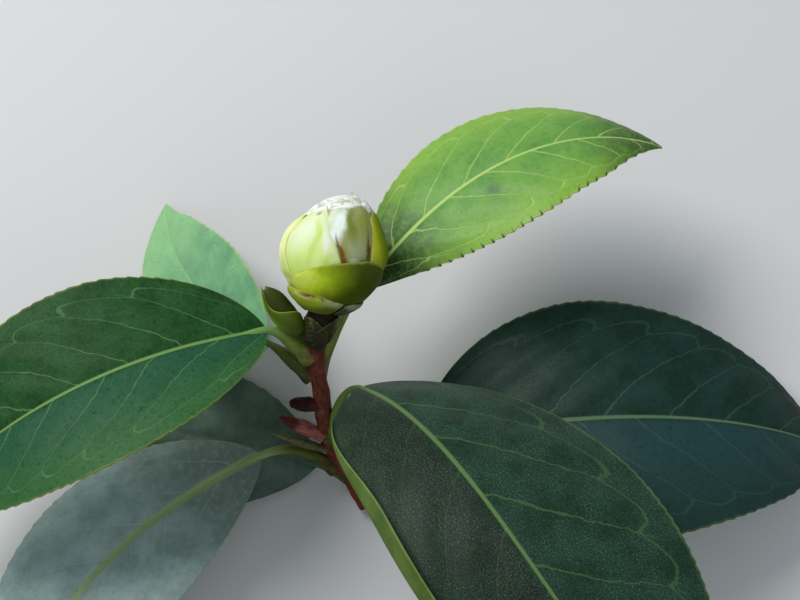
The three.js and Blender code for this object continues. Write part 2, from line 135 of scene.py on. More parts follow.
def finished(bm, name, *skins):
    """The shape as a smooth-shaded object in metres, at the twig's own origin."""
    for vert in bm.verts:
        vert.co = (vert.co + TWIG_SHIFT) * MM
    mesh = bpy.data.meshes.new(name)
    bm.to_mesh(mesh)
    bm.free()
    mesh.polygons.foreach_set("use_smooth", [True] * len(mesh.polygons))
    for skin in skins:
        mesh.materials.append(skin)
    piece = bpy.data.objects.new(name, mesh)
    bpy.context.scene.collection.objects.link(piece)
    return piece


def stands_for(piece, node):
    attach(piece, "root")
    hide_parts(node)


def node(tree, kind, feeds=None, **settings):
    """One shader node with its settings, and with values or other nodes' sockets fed in."""
    made = tree.nodes.new("ShaderNode" + kind)
    for key, value in settings.items():
        setattr(made, key, value)
    for key, value in (feeds or {}).items():
        if isinstance(value, bpy.types.NodeSocket):
            tree.links.new(value, made.inputs[key])
        else:
            made.inputs[key].default_value = value
    return made


def ramp(value, low, high, start=0.0, end=1.0):
    """A soft step from start to end as the value goes from low to high."""
    feeds = {"Value": value, "From Min": low, "From Max": high, "To Min": start, "To Max": end}
    soft = node(value.id_data, "MapRange", feeds, interpolation_type="SMOOTHSTEP")
    return soft.outputs["Result"]


def maths(operation, a, b=0.0):
    tree = (a if isinstance(a, bpy.types.NodeSocket) else b).id_data
    return node(tree, "Math", {0: a, 1: b}, operation=operation).outputs[0]


def times(a, b):
    return maths("MULTIPLY", a, b)


def plus(a, b):
    return maths("ADD", a, b)


def minus(a, b):
    return maths("SUBTRACT", a, b)


def tint(share, a, b):
    """Colour a turning into colour b by a share."""
    a = (*a, 1) if isinstance(a, tuple) and len(a) == 3 else a
    b = (*b, 1) if isinstance(b, tuple) and len(b) == 3 else b
    return node(share.id_data, "Mix", {0: share, 6: a, 7: b}, data_type="RGBA").outputs[2]


def vectors(operation, a, b):
    return node(a.id_data, "VectorMath", {0: a, 1: b}, operation=operation).outputs


def uv_place(tree, uv_name):
    return node(tree, "UVMap", uv_map=uv_name).outputs["UV"]


def parts(place):
    return node(place.id_data, "SeparateXYZ", {0: place}).outputs


def stretched(tree, uv_name, across, along):
    """A piece's own UV map scaled to millimetres across and along it."""
    return vectors("MULTIPLY", uv_place(tree, uv_name), (across, along, 1))[0]


def speckle(where, scale, detail=3.0, roughness=0.55):
    feeds = {"Vector": where, "Scale": scale, "Detail": detail, "Roughness": roughness}
    return node(where.id_data, "TexNoise", feeds).outputs["Fac"]


def blank_skin(name):
    skin = bpy.data.materials.new(name)
    skin.use_nodes = True
    return skin, skin.node_tree


def surfaced(skin, colour, rough, shine, relief, strength, depth=RELIEF_DEPTH):
    """Gives a skin's shader its colour, roughness, gloss and fine relief."""
    tree = skin.node_tree
    shader = tree.nodes["Principled BSDF"].inputs
    tree.links.new(colour, shader["Base Color"])
    if isinstance(rough, float):
        shader["Roughness"].default_value = rough
    else:
        tree.links.new(rough, shader["Roughness"])
    shader["Specular IOR Level"].default_value = shine
    bump = node(tree, "Bump", {"Height": relief, "Strength": strength, "Distance": depth})
    tree.links.new(bump.outputs[0], shader["Normal"])
    return skin


def bark_skin(name, red, dark, pale, round_mm, long_mm, end):
    """Furrowed bark with pale pores. Its end is two shares of the length and the tone there, which
    on the stem is painted shade under the bud.
    """
    skin, tree = blank_skin(name)
    where = stretched(tree, "limb", round_mm, long_mm * 0.22)
    furrows = speckle(where, 2.2, 4, 0.62)
    blotches = speckle(stretched(tree, "limb", round_mm, long_mm), 0.35, 2)
    feeds = {"Vector": stretched(tree, "limb", round_mm, long_mm), "Scale": 0.55}
    pore = ramp(node(tree, "TexVoronoi", feeds).outputs["Distance"], 0.16, 0.08)
    colour = tint(ramp(furrows, 0.35, 0.65), dark, red)
    colour = tint(ramp(blotches, 0.5, 0.8, 0.0, 0.7), colour, pale)
    colour = tint(times(pore, 0.35), colour, pale)
    along = parts(uv_place(tree, "limb"))["Y"]
    drift = plus(along, times(minus(blotches, 0.5), 0.1))
    starts, full, tone = end
    colour = tint(ramp(drift, starts, full, 0.0, 0.97), colour, tone)
    rough = ramp(furrows, 0.3, 0.7, 0.75, 0.5)
    return surfaced(skin, colour, rough, 0.15, plus(furrows, times(pore, 0.4)), 0.35)


def bumpy(x, y, z):
    return noise.noise(Vector((x, y, z)))


stem_stations, stem_length = line_stations(STEM_LINE, STEM_RINGS)


def stem_radius(t, turn):
    radius = mix(STEM_CUT_RADIUS, STEM_TOP_RADIUS, t)
    radius += (STEM_NECK_RADIUS - STEM_TOP_RADIUS) * smooth((t - 0.8) / 0.13)
    for at, swell in STEM_NODES:
        radius += swell * math.exp(-(((t - at) * stem_length / 1.1) ** 2))
    wave = bumpy(math.cos(turn) * 1.2, math.sin(turn) * 1.2, t * stem_length * 0.35)
    rings = 0.04 * math.sin(t * stem_length * 5.5) * smooth((t - 0.7) / 0.08)
    end = smooth(t * stem_length / 0.25)
    return (radius + 0.09 * wave + rings) * mix(0.9, 1.0, end)


# The stem's neck fades to near black: painted shade under the flower bud.
end = (0.78, 0.87, NECK_PAINTED_SHADE)
skin = bark_skin("stem bark", BARK_RED, BARK_DARK, BARK_PALE, 9, stem_length, end)
stem = finished(round_limb(stem_stations, STEM_SIDES, stem_radius), "stem_bark", skin)
stands_for(stem, "stem")

# Old bud stubs: two dried, dark maroon remains of last year's buds on the left of the stem.
# They are wrinkled and blunt, and the lower one is still pinkish red near its foot.
STUBS = {
    "old_stub_upper": dict(
        foot=(-3.4, -20.9, 15.1), tip=(-8.1, -20.9, 16.9), radius=1.5, widest=0.5, full=0.3,
        sharpness=1, red=(0.11, 0.024, 0.018), dark=(0.03, 0.008, 0.006), pale=(0.2, 0.07, 0.055),
        end=(0.15, 0.45, (0.022, 0.005, 0.005)),
    ),
    "old_stub_lower": dict(
        foot=(-2.5, -25.3, 9.6), tip=(-10.0, -22.7, 13.1), radius=1.4, widest=0.45, full=0.4,
        sharpness=1.2, red=(0.4, 0.15, 0.13), dark=(0.2, 0.05, 0.045), pale=(0.5, 0.25, 0.21),
        end=(0.52, 0.7, (0.08, 0.016, 0.016)),
    ),
}
STUB_RINGS = 56
STUB_SIDES = 32


def pointed_radius(radius, widest, sharpness, t, full=0.75):
    """Radius of a pointed bud along its axis, from its foot (0) to its tip (1)."""
    swell = max(0.0, math.sin(math.pi * t ** (math.log(0.5) / math.log(widest)))) ** full
    return radius * swell * (1 - 0.25 * t**sharpness)


def straight_stations(foot, tip, count):
    along = (Vector(tip) - Vector(foot)).normalized()
    return [(Vector(foot).lerp(Vector(tip), i / count), along) for i in range(count + 1)]


for name, stub in STUBS.items():
    seed = len(name) * 1.7 + stub["radius"] * 9

    def stub_radius(t, turn):
        swell = pointed_radius(stub["radius"], stub["widest"], stub["sharpness"], t, stub["full"])
        base = max(0.25, 1.35 * (1 - t), swell)
        wrinkle = bumpy(math.cos(turn) * 2, math.sin(turn) * 2, t * 5 + seed)
        fold = math.sin(turn * 5 + t * 3 + seed) * 0.05
        return base * (1 + 0.2 * wrinkle + fold)

    stations = straight_stations(stub["foot"], stub["tip"], STUB_RINGS)
    skin = bark_skin(name + " bark", stub["red"], stub["dark"], stub["pale"], 8, 7, stub["end"])
    piece = finished(round_limb(stations, STUB_SIDES, stub_radius), name + "_bark", skin)
    stands_for(piece, name)

# Lower bud: a slim dormant bud in the angle of the left front leaf, yellow-green and satin,
# wrapped in scales so tight that only their edges show as fine dark lines.
LOWER_BUD = dict(foot=(-1.7, -27.7, 8.2), tip=(-11.7, -25.3, 11.8), radius=0.92)
LOWER_BUD_RINGS = 64
LOWER_BUD_SIDES = 28
LOWER_BUD_COLOURS = dict(
    foot=(0.035, 0.035, 0.006), tip=(0.1, 0.12, 0.015), seam=(0.03, 0.02, 0.006),
)


def lower_bud_radius(t, turn):
    swell = pointed_radius(LOWER_BUD["radius"], 0.4, 1.4, t)
    step = 0.05 * smooth(((t * 4 + turn / math.pi * 0.5) % 1.0 - 0.85) / 0.1)
    return max(0.12, 0.55 * (1 - t), swell) * (1 - step)


def lower_bud_skin():
    skin, tree = blank_skin("lower bud scales")
    where = parts(uv_place(tree, "limb"))
    spiral = plus(times(where["Y"], 4), where["X"])
    seam = ramp(maths("FRACT", spiral), 0.86, 0.95)
    streaks = speckle(stretched(tree, "limb", 6, 2), 3, 3)
    colour = tint(where["Y"], LOWER_BUD_COLOURS["foot"], LOWER_BUD_COLOURS["tip"])
    colour = tint(ramp(streaks, 0.4, 0.7, 0, 0.5), colour, (0.16, 0.17, 0.04))
    colour = tint(times(seam, 0.8), colour, LOWER_BUD_COLOURS["seam"])
    return surfaced(skin, colour, 0.5, 0.5, streaks, 0.3)


stations = straight_stations(LOWER_BUD["foot"], LOWER_BUD["tip"], LOWER_BUD_RINGS)
limb = round_limb(stations, LOWER_BUD_SIDES, lower_bud_radius)
lower_bud = finished(limb, "lower_bud_scales", lower_bud_skin())
stands_for(lower_bud, "lower_bud")

# Leaf bud: two pointed satin scales wrapped round a slim core, beside the flower bud.
# The left scale is bright green and cups the whole foot, the right one inside it is dark olive.
LOOK_ELEVATION = math.radians(75)
LOOK_FRONT = Vector((0, -math.cos(LOOK_ELEVATION), math.sin(LOOK_ELEVATION)))
LOOK_UP = Vector((0, math.sin(LOOK_ELEVATION), math.cos(LOOK_ELEVATION)))
LEAF_BUD_FOOT = Vector((-4.5, -12.5, 29.6))
LEAF_BUD_TIP = Vector((-12.0, -4.6, 35.9))
LEAF_BUD_RADIUS = 2.75
LEAF_BUD_WIDEST = 0.52
LEAF_BUD_SHARPNESS = 1.5
LEAF_BUD_CORE_SHARE = 0.9
LEAF_BUD_CORE_DEPTH = 1.15
LEAF_BUD_GRID = (84, 48)
SCALE_THICKNESS = 0.2
LEAF_BUD_SCALES = {
    "leaf_bud_scale_left": dict(
        sunk=0.0, turn=-75, half=150, tip_half=32, narrow=(0.2, 0.7), foot=0.15, top=0.96,
        low=(0.05, 0.085, 0.006), high=(0.18, 0.33, 0.012), edge=(0.3, 0.4, 0.05),
        away=(0.05, 0.075, 0.006),
    ),
    "leaf_bud_scale_right": dict(
        sunk=0.62, turn=50, half=120, tip_half=112, narrow=(0.3, 1.0), foot=0.22, top=0.92,
        low=(0.02, 0.028, 0.005), high=(0.032, 0.044, 0.004), edge=(0.12, 0.14, 0.02),
        away=(0.024, 0.026, 0.004),
    ),
}


def outward(front, right, turn):
    return front * math.cos(turn) + right * math.sin(turn)


def bud_frame(axis):
    """Directions up a bud, to its front and to its right."""
    up = axis.normalized()
    front = (LOOK_FRONT - up * LOOK_FRONT.dot(up)).normalized()
    return up, front, up.cross(front)


def thicken(piece, edges, thickness, offset, edge_share):
    """Gives a sheet its thickness, and less of it where edges says that an edge is near."""
    body = piece.vertex_groups.new(name="body")
    for index, edge in enumerate(edges):
        body.add([index], 1 - edge, "REPLACE")
    shell = piece.modifiers.new("thickness", "SOLIDIFY")
    shell.thickness = thickness * MM
    shell.offset = offset
    shell.vertex_group = "body"
    shell.thickness_vertex_group = edge_share
    return shell


def curved_scale(name, grid, point, skin, lie):
    """A grid bent to a scale by a rule of its place across (-1 to 1) and up (0 to 1)."""
    bm = bmesh.new()
    uv = bm.loops.layers.uv.new("scale")
    round_bud = bm.loops.layers.uv.new("lie")
    bmesh.ops.create_grid(bm, x_segments=grid[0], y_segments=grid[1], size=1)
    for face in bm.faces:
        for loop in face.loops:
            loop[uv].uv = (loop.vert.co.x / 2 + 0.5, loop.vert.co.y / 2 + 0.5)
            loop[round_bud].uv = lie(loop.vert.co.x, loop.vert.co.y / 2 + 0.5)
    edges = []
    for vert in bm.verts:
        across, up = vert.co.x, vert.co.y / 2 + 0.5
        edges.append(max(abs(across) ** 6, up**8))
        vert.co = point(across, up)
    piece = finished(bm, name, skin)
    thicken(piece, edges, SCALE_THICKNESS, -1, 0.4)
    return piece


def leaf_bud_skin(name, low, high, edge, away):
    skin, tree = blank_skin(name)
    where = parts(uv_place(tree, "scale"))
    streaks = speckle(stretched(tree, "scale", 26, 2.5), 1.0, 4, 0.6)
    rise = plus(where["Y"], times(streaks, 0.3))
    colour = tint(ramp(rise, 0.15, 0.6), low, high)
    turned = plus(where["X"], times(streaks, 0.1))
    colour = tint(ramp(turned, 0.56, 0.74, 0.0, 0.85), colour, away)
    side = maths("ABSOLUTE", minus(where["X"], 0.5))
    margin = maths("MAXIMUM", ramp(side, 0.44, 0.5), ramp(where["Y"], 0.93, 1))
    colour = tint(times(margin, 0.6), colour, edge)
    return surfaced(skin, colour, ramp(streaks, 0.3, 0.7, 0.42, 0.58), 0.14, streaks, 0.35)


def leaf_bud_radius(t):
    return pointed_radius(LEAF_BUD_RADIUS, LEAF_BUD_WIDEST, LEAF_BUD_SHARPNESS, t)


bud_front, bud_right = bud_frame(LEAF_BUD_TIP - LEAF_BUD_FOOT)[1:]
for name, scale in LEAF_BUD_SCALES.items():

    def leaf_bud_point(across, up):
        t = mix(scale["foot"], scale["top"], up)
        start, stop = scale["narrow"]
        span = mix(scale["half"], scale["tip_half"], smooth((up - start) / (stop - start)))
        turn = math.radians(scale["turn"] + across * span)
        hug = 0.25 * max(abs(across) ** 7, up**7)
        sunk = scale["sunk"] * (1 - 0.9 * smooth((t - 0.5) / 0.3))
        radius = leaf_bud_radius(t) - sunk - hug
        keel = 0.1 * math.exp(-((across / 0.09) ** 2)) * smooth((up - 0.5) / 0.4)
        radius = max(0.12, radius + keel)
        place = LEAF_BUD_FOOT.lerp(LEAF_BUD_TIP, t)
        return place + outward(bud_front, bud_right, turn) * radius

    tones = (scale[k] for k in ("low", "high", "edge", "away"))
    skin = leaf_bud_skin(name + " skin", *tones)
    piece = curved_scale(name + "_skin", LEAF_BUD_GRID, leaf_bud_point, skin, lambda a, u: (a, u))
    stands_for(piece, name)


def leaf_bud_core_radius(t, turn):
    swell = leaf_bud_radius(t * LEAF_BUD_CORE_SHARE) - LEAF_BUD_CORE_DEPTH
    return max(0.18, 0.8 * (1 - t), swell) * (1 + 0.04 * math.sin(turn * 3))


core_tip = LEAF_BUD_FOOT.lerp(LEAF_BUD_TIP, LEAF_BUD_CORE_SHARE)
limb = round_limb(straight_stations(LEAF_BUD_FOOT, core_tip, 40), 24, leaf_bud_core_radius)
tones = ((0.04, 0.045, 0.012), (0.015, 0.017, 0.006), (0.09, 0.09, 0.03))
skin = bark_skin("leaf bud core", *tones, 6, 10, (0.9, 1.0, (0.08, 0.1, 0.02)))
leaf_bud_core = finished(limb, "leaf_bud_core_skin", skin)
stands_for(leaf_bud_core, "leaf_bud_core")

# Neck bracts: small dark scales, left where the flower bud and the leaf bud grow from the stem.
# Each is a short thin cup round the neck, brown-green with a paler edge.
NECK_BRACTS = [
    dict(turn=-35, half=70, low=0.845, high=0.965, wide=(2.6, 2.95)),
    dict(turn=75, half=75, low=0.87, high=0.975, wide=(2.3, 2.95)),
    dict(turn=190, half=80, low=0.86, high=0.965, wide=(2.5, 2.95)),
]
BRACT_GRID = (40, 30)
neck_front, neck_right = bud_frame(stem_stations[-1][0] - stem_stations[-20][0])[1:]
for number, bract in enumerate(NECK_BRACTS):

    def bract_point(across, up):
        top = bract["high"] - 0.05 * abs(across) ** 2
        place = stem_stations[round(mix(bract["low"], top, up) * STEM_RINGS)][0]
        turn = math.radians(bract["turn"] + across * bract["half"])
        wavy = 0.15 * bumpy(across * 3, up * 2, number)
        radius = mix(*bract["wide"], up**0.8) + wavy
        return place + outward(neck_front, neck_right, turn) * radius

    tones = ((0.014, 0.013, 0.004), (0.04, 0.042, 0.01), (0.09, 0.1, 0.03), (0.02, 0.022, 0.006))
    skin = leaf_bud_skin("neck bract %d" % number, *tones)
    name = "neck_bract_%d" % number
    piece = curved_scale(name, BRACT_GRID, bract_point, skin, lambda a, u: (a, u))
    stands_for(piece, "stem")

# Flower bud core: the folded silky petals inside the scales, closed to one egg. Only their
# crumpled white tips show above a slanting line, with a tuft of short silk hairs on them.
BUD_CENTRE = Vector((0, 0, 36))
BUD_RADIUS = 9.7
BUD_TOP = 11.8
BUD_BOTTOM = 10.1
BUD_TOP_FULLNESS = 1.72
BUD_SHOULDER = 0.6
BUD_BOTTOM_FULLNESS = 1.6
BUD_TIP_CLOSING = 0.35
BUD_APEX_OFFSET = 1.0
CORE_DEPTH = 2.3
SILK_HAIRS = 120
HAIR_FOOT = 0.028
HAIR_TIP = 0.008
SILK_FROM = 146
SILK_SLANT = 0.22
SILK_TURN = 70.0
SILK_FADE = 6
# Where the silk also fills the cleft above a scale's shoulder: middle, reach, how far it comes
# out, and the turn, half width, top and drop of the scale's own edge there.
SILK_CLEFTS = [(-84, 28, 1.3, (-50, 66, 146, 61)), (90, 28, 0.8, (20, 75, 163, 30))]
flower_axis = (
    LOOK_UP * math.cos(math.radians(10.7))
    + Vector((1, 0, 0)) * math.sin(math.radians(10.7))
    + LOOK_FRONT * math.sin(math.radians(5))
)
flower_up, flower_front, flower_right = bud_frame(flower_axis)


def egg_point(turn, height, sunk):
    """Point of the flower bud's egg: angle round it, angle up its side, depth under it."""
    cosine = -math.cos(math.radians(height))
    half = BUD_TOP if cosine > 0 else BUD_BOTTOM
    fullness = BUD_TOP_FULLNESS if cosine > 0 else BUD_BOTTOM_FULLNESS
    left = max(0.0, -math.sin(math.radians(turn))) ** 2 * smooth((height - 98) / 32)
    depth = sunk * (1 - BUD_TIP_CLOSING * max(0.0, cosine) ** 2) + BUD_SHOULDER * left
    spread = math.sqrt(max(0.0, 1 - abs(cosine) ** fullness))
    radius = spread * (BUD_RADIUS - depth)
    lean = BUD_APEX_OFFSET * max(0.0, cosine) ** 2
    turn = math.radians(turn)
    place = BUD_CENTRE + flower_up * (cosine * (half - depth))
    place = place + flower_front * (radius * math.cos(turn))
    return place + flower_right * (radius * math.sin(turn) + lean)


def silk_skin():
    skin, tree = blank_skin("petal silk")
    where = node(tree, "TexCoord").outputs["Object"]
    grain = speckle(where, 900, 4)
    colour = tint(ramp(grain, 0.35, 0.6), (0.5, 0.5, 0.4), (0.88, 0.89, 0.86))
    return surfaced(skin, colour, 0.7, 0.5, grain, 0.6, 0.0003)


def silk_line(turn):
    """Height on the bud above which the white silk shows."""
    return SILK_FROM + SILK_SLANT * max(-SILK_TURN, min(SILK_TURN, turn))


def cleft_fill(turn, height):
    fill = 0
    for middle, reach, rise, (scale_turn, half, top, drop) in SILK_CLEFTS:
        edge = top - drop * min(1, abs(turn - scale_turn) / half) ** 1.7
        near = math.exp(-(((turn - middle) / reach) ** 4))
        fill = max(fill, rise * near * smooth((height - edge) / 6))
    return fill


petal_silk = silk_skin()
bm = bmesh.new()
bmesh.ops.create_uvsphere(bm, u_segments=96, v_segments=64, radius=1)
for vert in bm.verts:
    height = math.degrees(math.acos(max(-1.0, min(1.0, -vert.co.z))))
    turn = math.degrees(math.atan2(vert.co.x, vert.co.y))
    top = smooth((height - silk_line(turn)) / 9)
    ripple = noise.noise(vert.co * 8) * 0.5 + noise.noise(vert.co * 19) * 0.25
    raised = max(top * (0.45 + 0.5 * ripple), cleft_fill(turn, height) * (1 + 0.2 * ripple))
    vert.co = egg_point(turn, height, CORE_DEPTH - raised)
bmesh.ops.recalc_face_normals(bm, faces=bm.faces[:])
bud_core = finished(bm, "bud_core_petals", petal_silk)
stands_for(bud_core, "bud_core")

bm = bmesh.new()
chance = random.Random(7)
for k in range(SILK_HAIRS):
    turn = chance.uniform(-180, 180)
    height = silk_line(turn) + chance.uniform(-3, 26)
    root = egg_point(turn, height, 1.75)
    away = (root - BUD_CENTRE).normalized()
    lean = flower_up * 0.9 + away * chance.uniform(0.1, 0.8)
    lean += Vector((chance.uniform(-1, 1), chance.uniform(-1, 1), chance.uniform(-1, 1))) * 0.35
    length = chance.uniform(0.35, 0.85)
    hair = bmesh.ops.create_cone(bm, segments=3, radius1=HAIR_FOOT, radius2=HAIR_TIP, depth=length)
    grown = hair["verts"]
    bmesh.ops.translate(bm, verts=grown, vec=(0, 0, length / 2))
    bmesh.ops.rotate(bm, verts=grown, matrix=lean.to_track_quat("Z", "Y").to_matrix())
    bmesh.ops.translate(bm, verts=grown, vec=root)
silk_hairs = finished(bm, "bud_core_hairs", petal_silk)
stands_for(silk_hairs, "bud_core")

# Bud scales: eight leathery scales that overlap like tiles round the bud, each thin at its
# edge. They are yellow-green with pale streaks of flat silk hairs and a painted silky sheen on
# the upper left, and olive on the right, darkened further there with painted shade.
SCALE_LAYERS = 4
SCALE_PITCH = 0.55
SCALE_GRID = (96, 72)
SILK_WHITE = (0.86, 0.87, 0.83)
BUD_SCALES = {
    "bud_scale_inner_front": dict(layer=1, turn=20, half=75, foot=60, top=163, drop=30),
    "bud_scale_inner_back": dict(layer=1, turn=185, half=75, foot=60, top=158, drop=30),
    "bud_scale_left": dict(layer=2, turn=-50, half=66, foot=45, top=146, drop=61),
    "bud_scale_right": dict(layer=2, turn=107, half=60, foot=45, top=152, drop=16, skew=(0, 9, -1)),
    "bud_scale_outer_left": dict(
        layer=3, turn=-133, half=77, foot=32, top=142, drop=20, skew=(16, -19, 1), tuck=0.3,
    ),
    "bud_scale_outer_front": dict(
        layer=3, turn=47, half=89, foot=32, top=94, drop=31, skew=(-60, -8, -1),
    ),
    "bud_scale_base_left": dict(layer=4, turn=-60, half=98, foot=20, top=52, drop=10, hug=0.62),
    "bud_scale_base_right": dict(layer=4, turn=120, half=79, foot=20, top=49, drop=7),
}
RIGHT_BULGE = 0.65
# Colours of a scale: at its foot, higher up, along its margin, and patches, each with its
# middle (angle round the bud, angle up it), half length, half breadth, lean, colour, strength.
SCALE_PAINT = {
    "bud_scale_inner_front": dict(
        low=(0.22, 0.27, 0.06), high=(0.3, 0.34, 0.13), margin=(0.8, 0.82, 0.76), margins=0.4,
        patches=[
            (32, 108, 24, 11, 80, (0.4, 0.44, 0.26), 0.85),
            # The two pale patches below are silk hairs with a painted silky sheen.
            (-16, 134, 18, 10, 90, (0.72, 0.82, 0.62), 0.9),
            (-1, 122, 28, 11, 84, (0.84, 0.95, 0.88), 1.0),
            (17, 128, 24, 7, -62, (0.16, 0.21, 0.02), 0.95),
            (38, 130, 22, 14, 60, (0.25, 0.29, 0.04), 0.9),
            (13, 93, 17, 5, -63, (0.19, 0.06, 0.0), 1.0),
            (5, 104, 13, 2.2, -58, (0.12, 0.06, 0.0), 0.9),
            (46.5, 104, 18, 4.2, -84, (0.13, 0.045, 0.0), 1.0),
            (34, 89, 10, 4, 0, (0.85, 0.86, 0.82), 0.9),
        ],
    ),
    "bud_scale_inner_back": dict(
        low=(0.2, 0.28, 0.05), high=(0.42, 0.47, 0.24), margin=(0.8, 0.82, 0.76), margins=0.4,
        patches=[],
    ),
    "bud_scale_left": dict(
        low=(0.54, 0.72, 0.11), high=(0.6, 0.76, 0.26), margin=(0.78, 0.82, 0.5), margins=0.5,
        patches=[
            # Pale silk hairs with a painted silky sheen on the upper left.
            (-38, 116, 30, 17, 62, (0.74, 0.82, 0.6), 0.9),
            (-58, 110, 24, 6, 65, (0.84, 0.76, 0.6), 0.7),
            (-24, 114, 14, 5, -48, (0.5, 0.7, 0.08), 0.7),
            (-22, 95, 18, 4.5, 88, (0.34, 0.46, 0.04), 0.35),
            # Whitish: a painted silky sheen on the right shoulder.
            (-9, 107, 20, 6, -58, (0.8, 0.82, 0.74), 0.85),
            (-39, 131, 4, 3, 0, (0.16, 0.17, 0.04), 0.8),
            (-4, 84, 14, 6, 80, (0.45, 0.62, 0.06), 0.7),
        ],
    ),
    "bud_scale_right": dict(
        # Its own olive, darkened as painted shade on the right of the bud; the second patch adds
        # more.
        low=(0.16, 0.2, 0.003), high=(0.26, 0.32, 0.005), margin=(0.5, 0.45, 0.16), margins=0.5,
        patches=[
            (57, 112, 34, 8, -86, (0.36, 0.43, 0.02), 0.85),
            (84, 112, 40, 14, 90, (0.13, 0.165, 0.003), 0.9),
        ],
    ),
    "bud_scale_outer_left": dict(
        low=(0.46, 0.6, 0.07), high=(0.62, 0.74, 0.26), margin=(0.68, 0.72, 0.34), margins=0.4,
        # A pale streak along the left flank: a painted highlight.
        patches=[(-78, 86, 44, 12, 88, (0.86, 0.86, 0.48), 0.85)],
    ),
    "bud_scale_outer_front": dict(
        # Dark low and high tones: painted shade over its right side; the patches on its left are
        # lighter.
        low=(0.07, 0.095, 0.002), high=(0.06, 0.08, 0.002), margin=(0.34, 0.42, 0.08), margins=0.5,
        patches=[
            (10, 72, 24, 22, 20, (0.2, 0.27, 0.004), 0.9),
            (-22, 62, 34, 20, 14, (0.5, 0.68, 0.02), 1.0),
            (-40, 64, 30, 9, 12, (0.6, 0.68, 0.14), 0.75),
        ],
    ),
    "bud_scale_base_left": dict(
        low=(0.12, 0.15, 0.008), high=(0.3, 0.38, 0.02), margin=(0.45, 0.4, 0.12), margins=0.4,
        patches=[
            (-36, 49, 20, 2, -5, (0.75, 0.6, 0.4), 0.6),
            (-16, 49, 24, 2, -5, (0.1, 0.03, 0.002), 1.0),
            (26, 43, 26, 8, 0, (0.3, 0.33, 0.2), 0.95),
            (14, 30, 40, 7, 0, (0.06, 0.06, 0.008), 0.8),
        ],
    ),
    "bud_scale_base_right": dict(
        # Very dark tones: painted shade low on the right of the bud.
        low=(0.03, 0.03, 0.004), high=(0.06, 0.065, 0.008), margin=(0.2, 0.19, 0.13), margins=0.5,
        patches=[(54, 44, 26, 7, 0, (0.34, 0.35, 0.26), 0.9)],
    ),
}


def patch_mask(lie, middle, long, short, lean):
    """A soft-edged ellipse on the bud, in degrees round it and up it."""
    feeds = {"Vector": lie, "Location": (*middle, 0), "Scale": (long, short, 1)}
    feeds["Rotation"] = (0, 0, math.radians(lean))
    own = node(lie.id_data, "Mapping", feeds, vector_type="TEXTURE").outputs[0]
    return ramp(vectors("LENGTH", own, (0, 0, 0))["Value"], 1.45, 0.2)


def scale_skin(name, paint):
    skin, tree = blank_skin(name)
    where = parts(uv_place(tree, "scale"))
    solid = node(tree, "TexCoord").outputs["Object"]
    hairs = speckle(stretched(tree, "scale", 70, 3.5), 1.0, 5, 0.65)
    clouds = speckle(stretched(tree, "scale", 5, 2), 1.0, 2)
    feeds = {"Vector": solid, "Scale": 420.0, "Detail": 3.0}
    shake = node(tree, "TexNoise", feeds).outputs["Color"]
    shake = vectors("SUBTRACT", shake, (0.5, 0.5, 0.5))[0]
    shake = vectors("MULTIPLY", shake, (14, 14, 0))[0]
    lie = vectors("ADD", stretched(tree, "lie", 360, 180), (-180, 0, 0))[0]
    shaken = vectors("ADD", lie, shake)[0]
    rise = plus(where["Y"], times(clouds, 0.3))
    colour = tint(ramp(rise, 0.2, 0.8), paint["low"], paint["high"])
    for turn, height, long, short, lean, tone, strength in paint["patches"]:
        mask = patch_mask(shaken, (turn, height), long, short, lean)
        mask = times(mask, ramp(hairs, 0.2, 0.6, 0.75 * strength, strength))
        colour = tint(mask, colour, tone)
    side = maths("ABSOLUTE", minus(where["X"], 0.5))
    ragged = times(minus(hairs, 0.5), 0.05)
    side = ramp(plus(side, ragged), 0.47, 0.5)
    top = ramp(plus(where["Y"], ragged), 0.95, 0.995)
    margin = times(maths("MAXIMUM", side, top), paint["margins"])
    colour = tint(margin, colour, paint["margin"])
    place = parts(shaken)
    feeds = {"Value": place["X"], "Min": -SILK_TURN, "Max": SILK_TURN}
    front = node(tree, "Clamp", feeds).outputs[0]
    above = minus(place["Y"], times(front, SILK_SLANT))
    silk = ramp(plus(above, times(hairs, SILK_FADE)), SILK_FROM, SILK_FROM + SILK_FADE)
    colour = tint(silk, colour, SILK_WHITE)
    relief = plus(hairs, times(times(silk, clouds), 2))
    return surfaced(skin, colour, ramp(hairs, 0.3, 0.7, 0.45, 0.62), 0.12, relief, 0.35)


for name, scale in BUD_SCALES.items():
    outer = (SCALE_LAYERS - scale["layer"]) * SCALE_PITCH

    def scale_lie(across, up):
        at_foot, at_top, side = scale.get("skew", (0, 0, 1))
        slant = mix(at_foot, at_top, up) * max(0, across * side)
        turn = scale["turn"] + across * scale["half"] + slant
        ragged = bumpy(turn * 0.13, scale["turn"], 0)
        top = scale["top"] + ragged - scale["drop"] * abs(across) ** 1.7
        return turn, mix(scale["foot"], top, up)

    def scale_point(across, up):
        turn, height = scale_lie(across, up)
        hug = scale.get("hug", 0.42) + 0.24 * smooth((height - 98) / 16)
        hug *= max(abs(across) ** 7, up**9)
        hug += scale.get("tuck", 0) * smooth((70 - height) / 12)
        bulge = RIGHT_BULGE * (1 - across**4)
        bulge *= smooth((height - 80) / 20) * smooth((132 - height) / 34)
        dent = 0.12 * bumpy(turn * 0.06, height * 0.05, scale["turn"])
        return egg_point(turn, height, outer + hug + dent - bulge * (name == "bud_scale_right"))

    def scale_uv(across, up):
        turn, height = scale_lie(across, up)
        return turn / 360 + 0.5, height / 180

    skin = scale_skin(name + " skin", SCALE_PAINT[name])
    piece = curved_scale(name + "_skin", SCALE_GRID, scale_point, skin, scale_uv)
    stands_for(piece, name)

# Leaf 1: the young leaf behind the bud, bright yellow-green and soft, with fine dark-tipped
# teeth. Every leaf is a thin blade with a stalk that runs on under it as the midrib.
BLADE_THICKNESS = 0.42
BLADE_HALF_ROWS = 34
